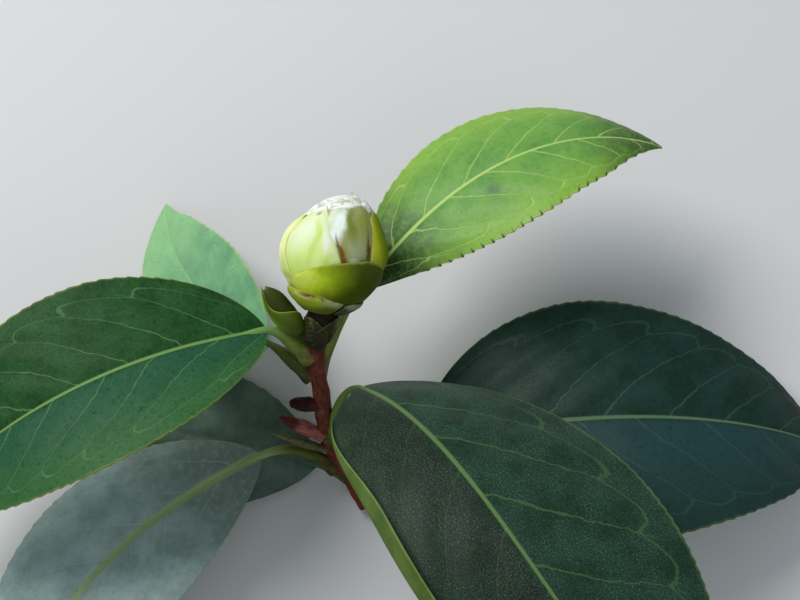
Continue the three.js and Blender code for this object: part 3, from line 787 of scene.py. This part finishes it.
# More rows across, and how they crowd to the margin, for a rolled margin and for a flat one.
ROLLED_ROWS = (14, 1.5)
FLAT_ROWS = (0, 1.25)
STALK_STEPS = 6
STALK_ROOT = 1.2
TOOTH_PITCH = 2.2
PLAN_WIDTH = 50
STALK_ROWS = 32
STALK_SIDES = 20
RIB_ROWS = 60
RIB_REACH = 0.93
MIDRIB_STEPS = 240
BLADE_ROW = 0.36
TOOTH_DARK = (0.012, 0.008, 0.006)
FROST = (0.26, 0.33, 0.28)
SPOT = (0.03, 0.1, 0.05)


def leaf_axes(heading, rise, roll):
    """Directions of a leaf: along it, up from it and to its right."""
    h, r, a = math.radians(heading), math.radians(rise), math.radians(roll)
    along = Vector((math.cos(r) * math.cos(h), math.cos(r) * math.sin(h), math.sin(r)))
    up = Vector((-math.sin(r) * math.cos(h), -math.sin(r) * math.sin(h), math.cos(r)))
    right = Vector((math.sin(h), -math.cos(h), 0))
    return along, up * math.cos(a) + right * math.sin(a), right * math.cos(a) - up * math.sin(a)


def axes_at(leaf, u):
    return leaf_axes(
        leaf["heading"] + leaf["sweep"] * u + leaf["hook"] * u * u,
        leaf["rise"] - leaf["droop"] * u - leaf["sag"] * u * u,
        leaf["roll"] + leaf["twist"] * u,
    )


def stalk_line(leaf):
    """Places from a root inside the stem up the stalk to where the blade begins."""
    places = [Vector(leaf["foot"])]
    for i in range(STALK_STEPS):
        t = ((i + 0.5) / STALK_STEPS) ** leaf["late"]
        heading = mix(leaf["foot_heading"], leaf["heading"], t)
        rise = mix(leaf["lift"], leaf["rise"], t)
        along = leaf_axes(heading, rise, leaf["roll"])[0]
        places.append(places[-1] + along * (leaf["stalk"] / STALK_STEPS))
    root = places[0] - (places[1] - places[0]).normalized() * STALK_ROOT
    return [root] + places


def midrib_stations(leaf, base, shares):
    """Stations along the midrib at the given shares of the blade's length."""
    stations = []
    place = base.copy()
    at = 0.0
    for u in shares:
        steps = max(1, round((u - at) * MIDRIB_STEPS))
        for k in range(steps):
            middle = at + (u - at) * (k + 0.5) / steps
            place += axes_at(leaf, middle)[0] * (leaf["length"] * (u - at) / steps)
        at = u
        stations.append((place.copy(), *axes_at(leaf, u)))
    return stations


def half_width(leaf, u):
    swell = max(0.0, math.sin(math.pi * min(1.0, u) ** (math.log(0.5) / math.log(leaf["widest"]))))
    taper = 1 - 0.35 * smooth((u - 0.8) / 0.2)
    return max(0.3, 0.5 * leaf["width"] * swell ** leaf["full"] * taper)


def cross_slope(leaf, share, side, u):
    slope = leaf["fold"] - leaf["curl"] * share
    if "rim" in leaf and side > 0:
        wide = smooth(u / 0.36)
        rolled = smooth((share - mix(0.95, 0.77, wide)) / mix(0.05, 0.13, wide))
        slope += leaf["rim"] * smooth(u / 0.1) * (1 - 0.6 * smooth((u - 0.85) / 0.15)) * rolled
    return math.radians(slope)


def vein_phase(leaf, u, share, side):
    """Counts the side veins: a whole number on each, which runs forward as it leaves the midrib."""
    reach = share * half_width(leaf, u)
    advance = leaf["vein_lean"] * reach + leaf["vein_bend"] * share * reach
    drift = 0.22 * bumpy(u * 5, side * 3 + leaf["seed"], share * 1.5)
    return (u * leaf["length"] - advance) / leaf["vein_pitch"] + 0.45 * (side > 0) + drift


def tooth_at(leaf, u, side):
    """Height of the saw teeth at the margin, and how near the place is to a tooth's tip."""
    wander = 0.35 * bumpy(u * 9, side + leaf["seed"] * 2.3, 0)
    phase = (u * leaf["length"] / TOOTH_PITCH + wander) % 1.0
    height = phase / 0.8 if phase < 0.8 else (1 - phase) / 0.2
    present = smooth((u - 0.1) / 0.1) * smooth((0.97 - u) / 0.05)
    if "rim" in leaf and side > 0:
        present = 0
    tip = smooth((height - 0.72) / 0.2) * present * leaf["tips"][side > 0]
    return leaf["teeth"] * height * present, tip


def leaf_blade(name, leaf, skins):
    rows = round(leaf["length"] / BLADE_ROW)
    rows_more, crowding = ROLLED_ROWS if "rim" in leaf else FLAT_ROWS
    halves = BLADE_HALF_ROWS + rows_more
    bm = bmesh.new()
    veins = bm.loops.layers.uv.new("veins")
    plan = bm.loops.layers.uv.new("blade")
    tips = bm.verts.layers.float.new("tooth_tip")
    bmesh.ops.create_grid(bm, x_segments=rows, y_segments=2 * halves, size=1)
    easing = [i / rows for i in range(rows + 1)]
    us = [0.6 * t + 0.2 * (1 - math.cos(math.pi * t)) for t in easing]
    shares = [1 - (1 - j / halves) ** crowding for j in range(halves + 1)]
    spine = midrib_stations(leaf, stalk_line(leaf)[-1], us)
    sheet = {}
    for i, u in enumerate(us):
        place, _, up, right = spine[i]
        for side in (-1, 1):
            tooth, tip = tooth_at(leaf, u, side)
            reach = half_width(leaf, u) * (1 + leaf["skew"] * side)
            out = lift = 0.0
            for j, share in enumerate(shares):
                if j:
                    middle = (share + shares[j - 1]) / 2
                    slope = cross_slope(leaf, middle, side, u)
                    out += math.cos(slope) * reach * (share - shares[j - 1])
                    lift += math.sin(slope) * reach * (share - shares[j - 1])
                slope = cross_slope(leaf, share, side, u)
                edge = smooth((share - 0.9) / 0.1)
                phase = vein_phase(leaf, u, share, side)
                window = smooth(share / 0.2) * smooth((0.86 - share) / 0.15)
                quilt = -leaf["quilt"] * math.cos(2 * math.pi * phase) * window
                groove = -0.22 * math.exp(-((out / 0.7) ** 2)) * (1 - 0.7 * u)
                wave = leaf["wave"] * edge * bumpy(u * 7, side * 2, leaf["seed"])
                x = out + math.cos(slope) * tooth * edge - math.sin(slope) * quilt
                z = lift + math.sin(slope) * tooth * edge + math.cos(slope) * quilt + groove + wave
                spot = place + right * (side * x) + up * z
                sheet[i, side * j] = (spot, share, phase, side * share * reach, tip * edge)
    for face in bm.faces:
        side = 1 if face.calc_center_median().y < 0 else -1
        for loop in face.loops:
            i = round((loop.vert.co.x + 1) / 2 * rows)
            j = abs(round(loop.vert.co.y * halves))
            share, phase, across = sheet[i, side * j][1:4]
            if j == 0:
                phase = vein_phase(leaf, us[i], 0.0, side)
            loop[veins].uv = (phase, share)
            loop[plan].uv = (us[i], across / PLAN_WIDTH)
    edges = []
    for vert in bm.verts:
        i = round((vert.co.x + 1) / 2 * rows)
        j = -round(vert.co.y * halves)
        vert.co, share = sheet[i, j][:2]
        vert[tips] = sheet[i, j][4]
        edges.append(max(share**3, smooth((us[i] - 0.9) / 0.1)))
    piece = finished(bm, name, *skins)
    thicken(piece, edges, BLADE_THICKNESS, 0, 0.45).material_offset = 1
    return piece


def leaf_stalk(name, leaf, skin):
    """The stalk, wider where it joins the stem, and the rib that it becomes under the blade."""
    line = stalk_line(leaf)
    stations = line_stations(line, STALK_ROWS)[0][:-1]
    radii = []
    for i in range(STALK_ROWS):
        t = i / STALK_ROWS
        flare = 1 + 0.35 * math.exp(-((t * (leaf["stalk"] + STALK_ROOT) / 1.9) ** 2))
        thinned = mix(leaf["stalk_radius"], leaf["rib_radius"], smooth((t - 0.35) / 0.65))
        radii.append(thinned * flare)
    shares = [i / RIB_ROWS * RIB_REACH for i in range(RIB_ROWS + 1)]
    rib = midrib_stations(leaf, line[-1], shares)
    for i, (place, along, up, _) in enumerate(rib):
        radius = mix(leaf["rib_radius"], 0.22, shares[i] ** 0.6)
        sink = (radius + 0.1) * smooth(i / 6)
        stations.append((place - up * sink, along))
        radii.append(radius)

    def stalk_radius(t, turn):
        at = round(t * (len(radii) - 1))
        ripple = 0.04 * bumpy(math.cos(turn) * 2, math.sin(turn) * 2, at * 0.2)
        return radii[at] * (1 + ripple)

    return finished(round_limb(stations, STALK_SIDES, stalk_radius), name, skin)


VEIN_RESULTS = ("Vein", "Midrib", "Net", "Clouds", "Grain", "Mottle")
VEIN_SIZES = {
    "Length": "length", "Pitch": "vein_pitch", "Width": "vein_width", "Rib Width": "rib_width",
}
NET_SCALE = 0.62


def vein_group():
    """Node group that draws the side veins, the loops that join them and the fine net."""
    group = bpy.data.node_groups.new("leaf veins", "ShaderNodeTree")
    for socket in ("Veins", "Plan"):
        group.interface.new_socket(socket, in_out="INPUT", socket_type="NodeSocketVector")
    for socket in (*VEIN_SIZES, "Net Scale"):
        group.interface.new_socket(socket, in_out="INPUT", socket_type="NodeSocketFloat")
    for socket in VEIN_RESULTS:
        group.interface.new_socket(socket, in_out="OUTPUT", socket_type="NodeSocketFloat")
    take = group.nodes.new("NodeGroupInput").outputs
    give = group.nodes.new("NodeGroupOutput").inputs
    spread = node(group, "CombineXYZ", {0: take["Length"], 1: PLAN_WIDTH, 2: 1.0}).outputs[0]
    flat = vectors("MULTIPLY", take["Plan"], spread)[0]
    clouds = speckle(flat, 0.16, 3)
    grain = speckle(flat, 2.2, 4, 0.6)
    mottle = speckle(flat, 0.8, 5, 0.68)
    wobble = times(minus(speckle(flat, 0.45, 2), 0.5), 0.16)
    counted = parts(take["Veins"])
    phase = plus(counted["X"], wobble)
    share = plus(counted["Y"], times(wobble, 0.3))
    step = maths("FRACT", phase)
    near = minus(0.5, maths("ABSOLUTE", minus(step, 0.5)))
    line_mm = times(near, take["Pitch"])
    swell = maths("SINE", times(step, math.pi))
    arch = plus(times(swell, 0.11), 0.73)
    thin = times(take["Width"], ramp(share, 0.0, 0.9, 1.0, 0.5))
    line = minus(1.0, ramp(maths("DIVIDE", line_mm, thin), 0.35, 1.3))
    beyond = minus(share, arch)
    line = times(line, ramp(beyond, 0.16, -0.02))
    loop_mm = times(maths("ABSOLUTE", beyond), 14.0)
    loop = minus(1.0, ramp(maths("DIVIDE", loop_mm, thin), 0.3, 1.5))
    vein = maths("MAXIMUM", line, times(loop, 0.8))
    sides = parts(take["Plan"])
    off_mm = times(maths("ABSOLUTE", sides["Y"]), PLAN_WIDTH)
    rib_mm = times(take["Rib Width"], ramp(sides["X"], 0.0, 1.0, 1.0, 0.4))
    midrib = minus(1.0, ramp(maths("DIVIDE", off_mm, rib_mm), 0.5, 1.2))
    feeds = {"Vector": flat, "Scale": take["Net Scale"], "Randomness": 0.9}
    cells = node(group, "TexVoronoi", feeds, feature="DISTANCE_TO_EDGE").outputs["Distance"]
    net = ramp(cells, 0.12, 0.02)
    for name, value in zip(VEIN_RESULTS, (vein, midrib, net, clouds, grain, mottle)):
        group.links.new(value, give[name])
    return group


leaf_veins = vein_group()


def blade_skin(name, leaf, upper):
    """Waxy skin of one face of a blade: the upper one is deep and glossy, the lower one pale."""
    skin, tree = blank_skin(name)
    veins, plan = uv_place(tree, "veins"), uv_place(tree, "blade")
    group = node(tree, "Group", node_tree=leaf_veins)
    tree.links.new(veins, group.inputs["Veins"])
    tree.links.new(plan, group.inputs["Plan"])
    for socket, key in VEIN_SIZES.items():
        group.inputs[socket].default_value = leaf[key]
    group.inputs["Net Scale"].default_value = NET_SCALE
    vein, midrib, net, clouds, grain, mottle = (group.outputs[k] for k in VEIN_RESULTS)
    tones = leaf["upper"] if upper else leaf["lower"]
    share = parts(veins)["Y"]
    base = tint(ramp(clouds, 0.35, 0.65), tones["deep"], tones["light"])
    base = tint(ramp(grain, 0.35, 0.75, 0.0, 0.3), base, tones["light"])
    lie = parts(plan)
    # Painted light shining through the thin blade, stronger towards the margins.
    if upper and "painted_glow" in leaf:
        base = tint(ramp(share, 0.3, 1.0, 0.0, 0.85), base, leaf["painted_glow"])
    # One half of the upper face takes another tone: a painted reflection on leaves 3 and 6, painted
    # shade on leaf 5. The veil hides the veins under it.
    if upper and "half" in leaf:
        half = leaf["half"]
        near = ramp(times(lie["Y"], half["side"]), -0.01, 0.03, 0.0, half["strength"])
        base = tint(near, base, tint(ramp(share, 0.2, 1.0), half["tone"], half["edge"]))
        vein = times(vein, minus(1.0, times(near, half["veil"])))
    # Tones faded in along the blade: painted shade at a foot, and darker or lighter tips.
    for full_at, gone_at, tone, strength in leaf.get("shades", []) if upper else []:
        foot = ramp(plus(lie["X"], times(clouds, 0.1)), gone_at, full_at)
        base = tint(times(foot, strength), base, tone)
    flat = stretched(tree, "blade", leaf["length"], PLAN_WIDTH)
    if upper and "frost" in leaf:
        dots = ramp(speckle(flat, 3.6, 3, 0.7), 0.48, 0.7, 0.0, leaf["frost"])
        base = tint(times(dots, ramp(clouds, 0.3, 0.6, 0.4)), base, FROST)
    for u, across, reach in leaf.get("spots", []) if upper else []:
        off = vectors("DISTANCE", flat, (u * leaf["length"], across, 0))["Value"]
        off = plus(off, times(mottle, 1.6))
        base = tint(ramp(off, reach + 0.8, 0.9, 0.0, 0.7), base, SPOT)
    dim = tuple(c * 0.5 for c in tones["deep"])
    base = tint(ramp(mottle, 0.5, 0.7, 0.0, tones["mottle"]), base, dim)
    base = tint(ramp(mottle, 0.5, 0.34, 0.0, tones["mottle"]), base, tones["light"])
    base = tint(times(net, tones["net"]), base, tones["vein"])
    base = tint(times(vein, tones["veins"]), base, tones["vein"])
    rim = ramp(plus(share, times(clouds, 0.02)), 0.982, 1.012)
    base = tint(times(rim, tones["rims"]), base, tones["rim"])
    base = tint(times(midrib, tones["ribs"]), base, tones["rib"])
    tip = node(tree, "Attribute", attribute_name="tooth_tip").outputs["Fac"]
    base = tint(ramp(tip, 0.1, 0.8, 0.0, 0.95), base, TOOTH_DARK)
    rough = ramp(grain, 0.3, 0.7, tones["gloss"], tones["gloss"] + 0.12)
    relief = minus(times(grain, 0.25), plus(times(vein, 0.6), times(net, 0.07)))
    return surfaced(skin, base, rough, leaf["shine"], relief, 0.55)


def stalk_skin(name, green, foot, length, rib):
    skin, tree = blank_skin(name)
    along = parts(uv_place(tree, "limb"))["Y"]
    streaks = speckle(stretched(tree, "limb", 7, length * 0.2), 1.2, 3)
    colour = tint(ramp(along, 0.02, 0.16), foot, green)
    pale = tuple(min(1.0, c * 1.5 + 0.02) for c in green)
    colour = tint(ramp(streaks, 0.4, 0.7, 0.0, 0.5), colour, pale)
    colour = tint(ramp(along, 0.2, 0.35), colour, rib)
    return surfaced(skin, colour, 0.45, 0.12, streaks, 0.25)


def whole_leaf(name, leaf):
    faces = ((" upper face", True), (" lower face", False))
    skins = [blade_skin(name + face, leaf, upper) for face, upper in faces]
    stands_for(leaf_blade(name + "_blade", leaf, skins), name)
    rib = leaf.get("stalk_end") or tuple(c * 0.9 for c in leaf["upper"]["rib"])
    skin = stalk_skin(name + " stalk", leaf["stalk_green"], leaf["stalk_foot"], leaf["length"], rib)
    stands_for(leaf_stalk(name + "_stalk", leaf, skin), name)


YOUNG_UPPER = dict(
    deep=(0.09, 0.26, 0.045), light=(0.14, 0.33, 0.055), vein=(0.36, 0.56, 0.14), net=0.07,
    mottle=0.3, veins=0.6, rim=(0.42, 0.5, 0.06), rims=0.6, rib=(0.42, 0.6, 0.16), ribs=0.85,
    gloss=0.42,
)
YOUNG_LOWER = dict(
    deep=(0.16, 0.28, 0.06), light=(0.24, 0.38, 0.1), vein=(0.36, 0.46, 0.16), net=0.1, mottle=0.2,
    veins=0.6, rim=(0.3, 0.38, 0.08), rims=0.4, rib=(0.4, 0.5, 0.2), ribs=0.8, gloss=0.5,
)
USUAL_LEAF = dict(
    late=1, skew=0, vein_lean=1.1, vein_bend=0.4, quilt=0.12, wave=0.35, teeth=0.25,
    tips=(0.2, 0.2), shine=0.3,
)
LEAF_1 = dict(
    USUAL_LEAF,
    foot=(-2.3, -16.2, 20.8), stalk=15.7, foot_heading=74, lift=21, heading=51.4, rise=20.1,
    roll=-13.4, length=62, width=26.8, droop=17.8, sag=20.2, sweep=-28.5, hook=-35.9, twist=-24.2,
    fold=3, curl=19.8, widest=0.52, full=0.8, skew=-0.03, stalk_radius=0.8, rib_radius=0.45,
    rib_width=0.45, vein_pitch=8.4, vein_bend=0.3, vein_width=0.3, quilt=0.08, wave=0.3, seed=1,
    # Its margins are lit with painted light shining through the blade.
    teeth=0.42, tips=(0.25, 1.0), upper=YOUNG_UPPER, lower=YOUNG_LOWER, painted_glow=(0.22, 0.42, 0.045),
    spots=[(0.47, 4.3, 2.4)],
    # The first shade is the bud's painted shadow over the foot; the second makes the tip darker.
    shades=[(0.14, 0.4, (0.006, 0.024, 0.003), 0.95), (1.0, 0.76, (0.02, 0.06, 0.006), 0.9)],
    stalk_green=(0.15, 0.2, 0.04), stalk_foot=(0.1, 0.09, 0.02),
)
whole_leaf("leaf_1", LEAF_1)

# Leaf 2: the small leaf to the left behind the bud, soft pale bluish green with a lighter rim,
# partly its margin's own colour and partly painted light shining through it.
# Its short, thick stalk grows from the stem just under the neck.
PALE_UPPER = dict(
    deep=(0.11, 0.31, 0.16), light=(0.18, 0.42, 0.2), vein=(0.28, 0.5, 0.26), net=0.06, mottle=0.2,
    veins=0.35, rim=(0.4, 0.56, 0.12), rims=0.7, rib=(0.3, 0.5, 0.24), ribs=0.6, gloss=0.45,
)
PALE_LOWER = dict(
    deep=(0.14, 0.26, 0.11), light=(0.2, 0.34, 0.16), vein=(0.3, 0.42, 0.2), net=0.1, mottle=0.2,
    veins=0.5, rim=(0.3, 0.4, 0.12), rims=0.4, rib=(0.34, 0.46, 0.22), ribs=0.8, gloss=0.5,
)
LEAF_2 = dict(
    USUAL_LEAF,
    foot=(-4.9, -16.1, 20.9), stalk=8.6, foot_heading=145.5, lift=26.4, late=3, heading=146,
    rise=-34.7, roll=-28.5, length=45.9, width=24.5, droop=-10.8, sag=-3.5, sweep=-25.8, hook=-26,
    twist=-11.9, fold=11.9, curl=10.2, widest=0.4, full=0.73, skew=-0.05, stalk_radius=1.5,
    rib_radius=0.55, rib_width=0.35, vein_pitch=7.2, vein_bend=0.3, vein_width=0.28, quilt=0.06,
    wave=0.3, seed=2, upper=PALE_UPPER, lower=PALE_LOWER,
    shades=[(0.95, 0.5, (0.27, 0.54, 0.23), 0.7)], stalk_green=(0.05, 0.065, 0.012),
    stalk_foot=(0.03, 0.032, 0.008), stalk_end=(0.06, 0.085, 0.014),
)
whole_leaf("leaf_2", LEAF_2)

# Leaf 3: the large left leaf in front of the bud, dark green and waxy, with its near half
# painted paler teal as a reflection.
# Its side veins are sunk in quilted fields, and its margin is a thin yellow-green line.
DARK_UPPER = dict(
    deep=(0.004, 0.042, 0.005), light=(0.01, 0.068, 0.012), vein=(0.1, 0.24, 0.09), net=0.05,
    mottle=0.55, veins=0.5, rim=(0.2, 0.24, 0.03), rims=0.7, rib=(0.17, 0.3, 0.09), ribs=0.85,
    gloss=0.46,
)
DARK_LOWER = dict(
    deep=(0.08, 0.15, 0.035), light=(0.13, 0.22, 0.06), vein=(0.22, 0.3, 0.1), net=0.1, mottle=0.2,
    veins=0.5, rim=(0.2, 0.28, 0.06), rims=0.4, rib=(0.26, 0.36, 0.12), ribs=0.8, gloss=0.5,
)
LEAF_3 = dict(
    USUAL_LEAF,
    foot=(-4.8, -13.95, 25.4), stalk=8.75, foot_heading=144, lift=36, late=3, heading=194.3,
    rise=24.2, roll=17.8, length=73.6, width=33.3, droop=62.3, sag=7.2, sweep=23.1, hook=4.3,
    twist=-10.2, fold=11.5, curl=10.3, widest=0.43, full=0.76, skew=0.02, stalk_radius=1.6,
    rib_radius=0.75, rib_width=0.42, vein_pitch=9.2, vein_lean=1.05, vein_bend=0.45,
    vein_width=0.26, seed=3, frost=0.12, shine=0.12, upper=DARK_UPPER, lower=DARK_LOWER,
    # The near half is painted paler teal as a reflection.
    half=dict(side=-1, tone=(0.012, 0.08, 0.042), edge=(0.034, 0.125, 0.034), strength=0.8, veil=0),
    stalk_green=(0.1, 0.15, 0.02), stalk_foot=(0.08, 0.08, 0.015),
)
whole_leaf("leaf_3", LEAF_3)

# Leaf 4: the left leaf below leaf 3, leathery and grey-green with a broad pale midrib, painted
# pale grey-blue as a reflection, and darker at its foot as painted shade.
# It grows low on the stem, on a long stalk.
# Pale grey-blue deep and light tones: a painted reflection over the leaf's grey-green.
GREY_SHEEN_UPPER = dict(
    deep=(0.2, 0.3, 0.28), light=(0.3, 0.42, 0.41), vein=(0.34, 0.46, 0.4), net=0.05, mottle=0.3,
    veins=0.3, rim=(0.2, 0.3, 0.12), rims=0.5, rib=(0.26, 0.38, 0.14), ribs=0.9, gloss=0.4,
)
LEAF_4 = dict(
    USUAL_LEAF,
    foot=(-1.3, -30.1, 5.6), stalk=13.4, foot_heading=140, lift=17.3, heading=206.7, rise=7,
    roll=10.4, length=73, width=29.8, droop=17.5, sag=12.6, sweep=35.1, hook=18.8, twist=3.3,
    fold=9.7, curl=12.5, widest=0.45, full=0.78, stalk_radius=1.15, rib_radius=0.7, rib_width=1.1,
    vein_pitch=9.0, vein_width=0.3, quilt=0.1, seed=4, shine=0.4, upper=GREY_SHEEN_UPPER,
    # Its foot is painted darker as shade.
    lower=DARK_LOWER, shades=[(0.12, 0.45, (0.1, 0.15, 0.12), 0.85)],
    stalk_green=(0.08, 0.09, 0.015), stalk_foot=(0.05, 0.04, 0.01),
)
whole_leaf("leaf_4", LEAF_4)

# Leaf 5: the big front leaf. It arches up from the stem and hangs down to the front, very dark
# and finely speckled, and its near margin is rolled over so that the pale lower face shows.
FRONT_UPPER = dict(
    deep=(0.004, 0.024, 0.012), light=(0.008, 0.038, 0.022), vein=(0.07, 0.15, 0.05), net=0.04,
    mottle=0.5, veins=0.5, rim=(0.12, 0.2, 0.05), rims=0.6, rib=(0.11, 0.2, 0.06), ribs=0.85,
    gloss=0.44,
)
FRONT_LOWER = dict(
    deep=(0.055, 0.1, 0.018), light=(0.085, 0.14, 0.028), vein=(0.14, 0.2, 0.06), net=0.08,
    mottle=0.2, veins=0.3, rim=(0.2, 0.29, 0.08), rims=0.7, rib=(0.26, 0.36, 0.12), ribs=0.8,
    gloss=0.45,
)
LEAF_5 = dict(
    USUAL_LEAF,
    foot=(-1.3, -25.5, 10.0), stalk=15.45, foot_heading=71.7, lift=50.2, late=3, heading=-34.4,
    rise=60.9, roll=-29.4, length=96.8, width=45.4, droop=112.3, sag=-22.1, sweep=-87.1, hook=85.8,
    twist=43, fold=-3.7, curl=20, widest=0.491, full=0.52, skew=-0.098, stalk_radius=0.85,
    rib_radius=0.45, rim=150, rib_width=0.5, vein_pitch=13.0, vein_lean=0.9, vein_width=0.32,
    wave=0.3, seed=5, tips=(0.2, 0.0), shine=0.14, upper=FRONT_UPPER, lower=FRONT_LOWER,
    # The half on its right side is painted darker as shade, and its veins are veiled there.
    half=dict(
        side=1, tone=(0.006, 0.014, 0.007), edge=(0.008, 0.026, 0.01), strength=0.85, veil=0.9,
    ),
    frost=0.3, stalk_green=(0.1, 0.17, 0.03), stalk_foot=(0.06, 0.06, 0.012),
)
whole_leaf("leaf_5", LEAF_5)

# Leaf 6: the right leaf, broad and leathery, dark blue-green with a thin paler margin and a
# painted bluish sheen on one half.
# It grows low on the stem on a long stalk, and arches down to the right.
BLUE_UPPER = dict(
    deep=(0.003, 0.02, 0.011), light=(0.008, 0.034, 0.026), vein=(0.05, 0.11, 0.08), net=0.04,
    mottle=0.4, veins=0.35, rim=(0.1, 0.16, 0.05), rims=0.6, rib=(0.1, 0.18, 0.08), ribs=0.8,
    gloss=0.42,
)
LEAF_6 = dict(
    USUAL_LEAF,
    foot=(1.7, -31.4, 4.2), stalk=15.2, foot_heading=31.9, lift=7.4, heading=8, rise=27.8, roll=0.8,
    length=82.7, width=44.5, droop=45.3, sag=34, sweep=-13.8, hook=-5.1, twist=-22.3, fold=4.6,
    curl=13.7, widest=0.4, full=0.79, stalk_radius=1.2, rib_radius=0.6, rib_width=0.5,
    vein_pitch=11.0, vein_lean=1.0, vein_width=0.32, seed=6,
    # The half on its right side has a painted bluish sheen.
    half=dict(side=1, tone=(0.014, 0.05, 0.055), edge=(0.01, 0.036, 0.03), strength=0.8, veil=0.3),
    shine=0.16, upper=BLUE_UPPER, lower=DARK_LOWER, stalk_green=(0.07, 0.1, 0.02),
    stalk_foot=(0.05, 0.04, 0.01),
)
whole_leaf("leaf_6", LEAF_6)

# Leaf 7: the lowest left leaf, flat and narrow, mostly under the two leaves above it.
# It is leathery too, and grows from the low end of the stem on a short stalk.
TEAL_UPPER = dict(
    deep=(0.05, 0.1, 0.075), light=(0.09, 0.15, 0.12), vein=(0.14, 0.21, 0.16), net=0.04,
    mottle=0.3, veins=0.15, rim=(0.08, 0.14, 0.06), rims=0.4, rib=(0.09, 0.15, 0.1), ribs=0.4,
    gloss=0.42,
)
LEAF_7 = dict(
    USUAL_LEAF,
    foot=(2.5, -33.0, 3.1), stalk=7.5, foot_heading=140, lift=-10, heading=163, rise=2, roll=0,
    length=56, width=26, droop=4, sag=2, sweep=16, hook=6, twist=0, fold=3, curl=5, widest=0.44,
    full=0.76, stalk_radius=0.8, rib_radius=0.4, rib_width=0.25, vein_pitch=8.0, vein_width=0.28,
    quilt=0.08, wave=0.25, seed=7, upper=TEAL_UPPER, lower=DARK_LOWER,
    stalk_green=(0.08, 0.12, 0.03), stalk_foot=(0.05, 0.05, 0.015),
)
whole_leaf("leaf_7", LEAF_7)

# Floor: a plain, matt, pale grey surface that the twig lies on.
# It is only there for the picture, and is no piece of the twig.
FLOOR_SIZE = 6
bpy.ops.mesh.primitive_plane_add(size=FLOOR_SIZE, location=(0, 0, 0))
floor = bpy.context.object
floor.name = "floor"
floor_skin, floor_tree = blank_skin("floor")
floor_shader = floor_tree.nodes["Principled BSDF"].inputs
floor_shader["Base Color"].default_value = (0.62, 0.63, 0.64, 1)
floor_shader["Roughness"].default_value = 0.9
floor.data.materials.append(floor_skin)


# Light: one large soft lamp from the upper left behind the twig, a weak one from the front
# on the right, and a pale blue room all round.
LAMP_AIM = (0, 0, 0.02)
ROOM_TONE = (0.88, 0.94, 1.0, 1)
ROOM_STRENGTH = 0.42


def soft_lamp(name, place, aim, size, power, colour):
    lamp = bpy.data.lights.new(name, "AREA")
    lamp.shape = "DISK"
    lamp.size = size
    lamp.energy = power
    lamp.color = colour
    holder = bpy.data.objects.new(name, lamp)
    holder.location = place
    holder.rotation_euler = (Vector(aim) - Vector(place)).to_track_quat("-Z", "Y").to_euler()
    bpy.context.scene.collection.objects.link(holder)


soft_lamp("key lamp", (-0.33, 0.3, 0.5), LAMP_AIM, 0.35, 3.4, (1.0, 0.98, 0.95))
soft_lamp("fill lamp", (0.3, -0.35, 0.5), LAMP_AIM, 0.5, 0.5, (0.92, 0.96, 1.0))
world = bpy.data.worlds.new("soft room")
world.use_nodes = True
room = world.node_tree.nodes["Background"].inputs
room["Color"].default_value = ROOM_TONE
room["Strength"].default_value = ROOM_STRENGTH
bpy.context.scene.world = world
bpy.context.scene.view_settings.view_transform = "Standard"

# Camera: a long lens close to the twig, looking down on it from the front at 75 degrees.
# It stands so that the flower bud is as large as in the photo and in the same place.
CAMERA_PLACE = Vector((11.167, -78.817, 302.46))
camera_data = bpy.data.cameras.new("camera")
camera_data.lens = 75
camera_data.sensor_width = 36
camera_data.clip_start = 0.01
camera = bpy.data.objects.new("camera", camera_data)
camera.location = (CAMERA_PLACE + TWIG_SHIFT) * MM
camera.rotation_euler = (math.pi / 2 - LOOK_ELEVATION, 0, 0)
bpy.context.scene.collection.objects.link(camera)
bpy.context.scene.camera = camera
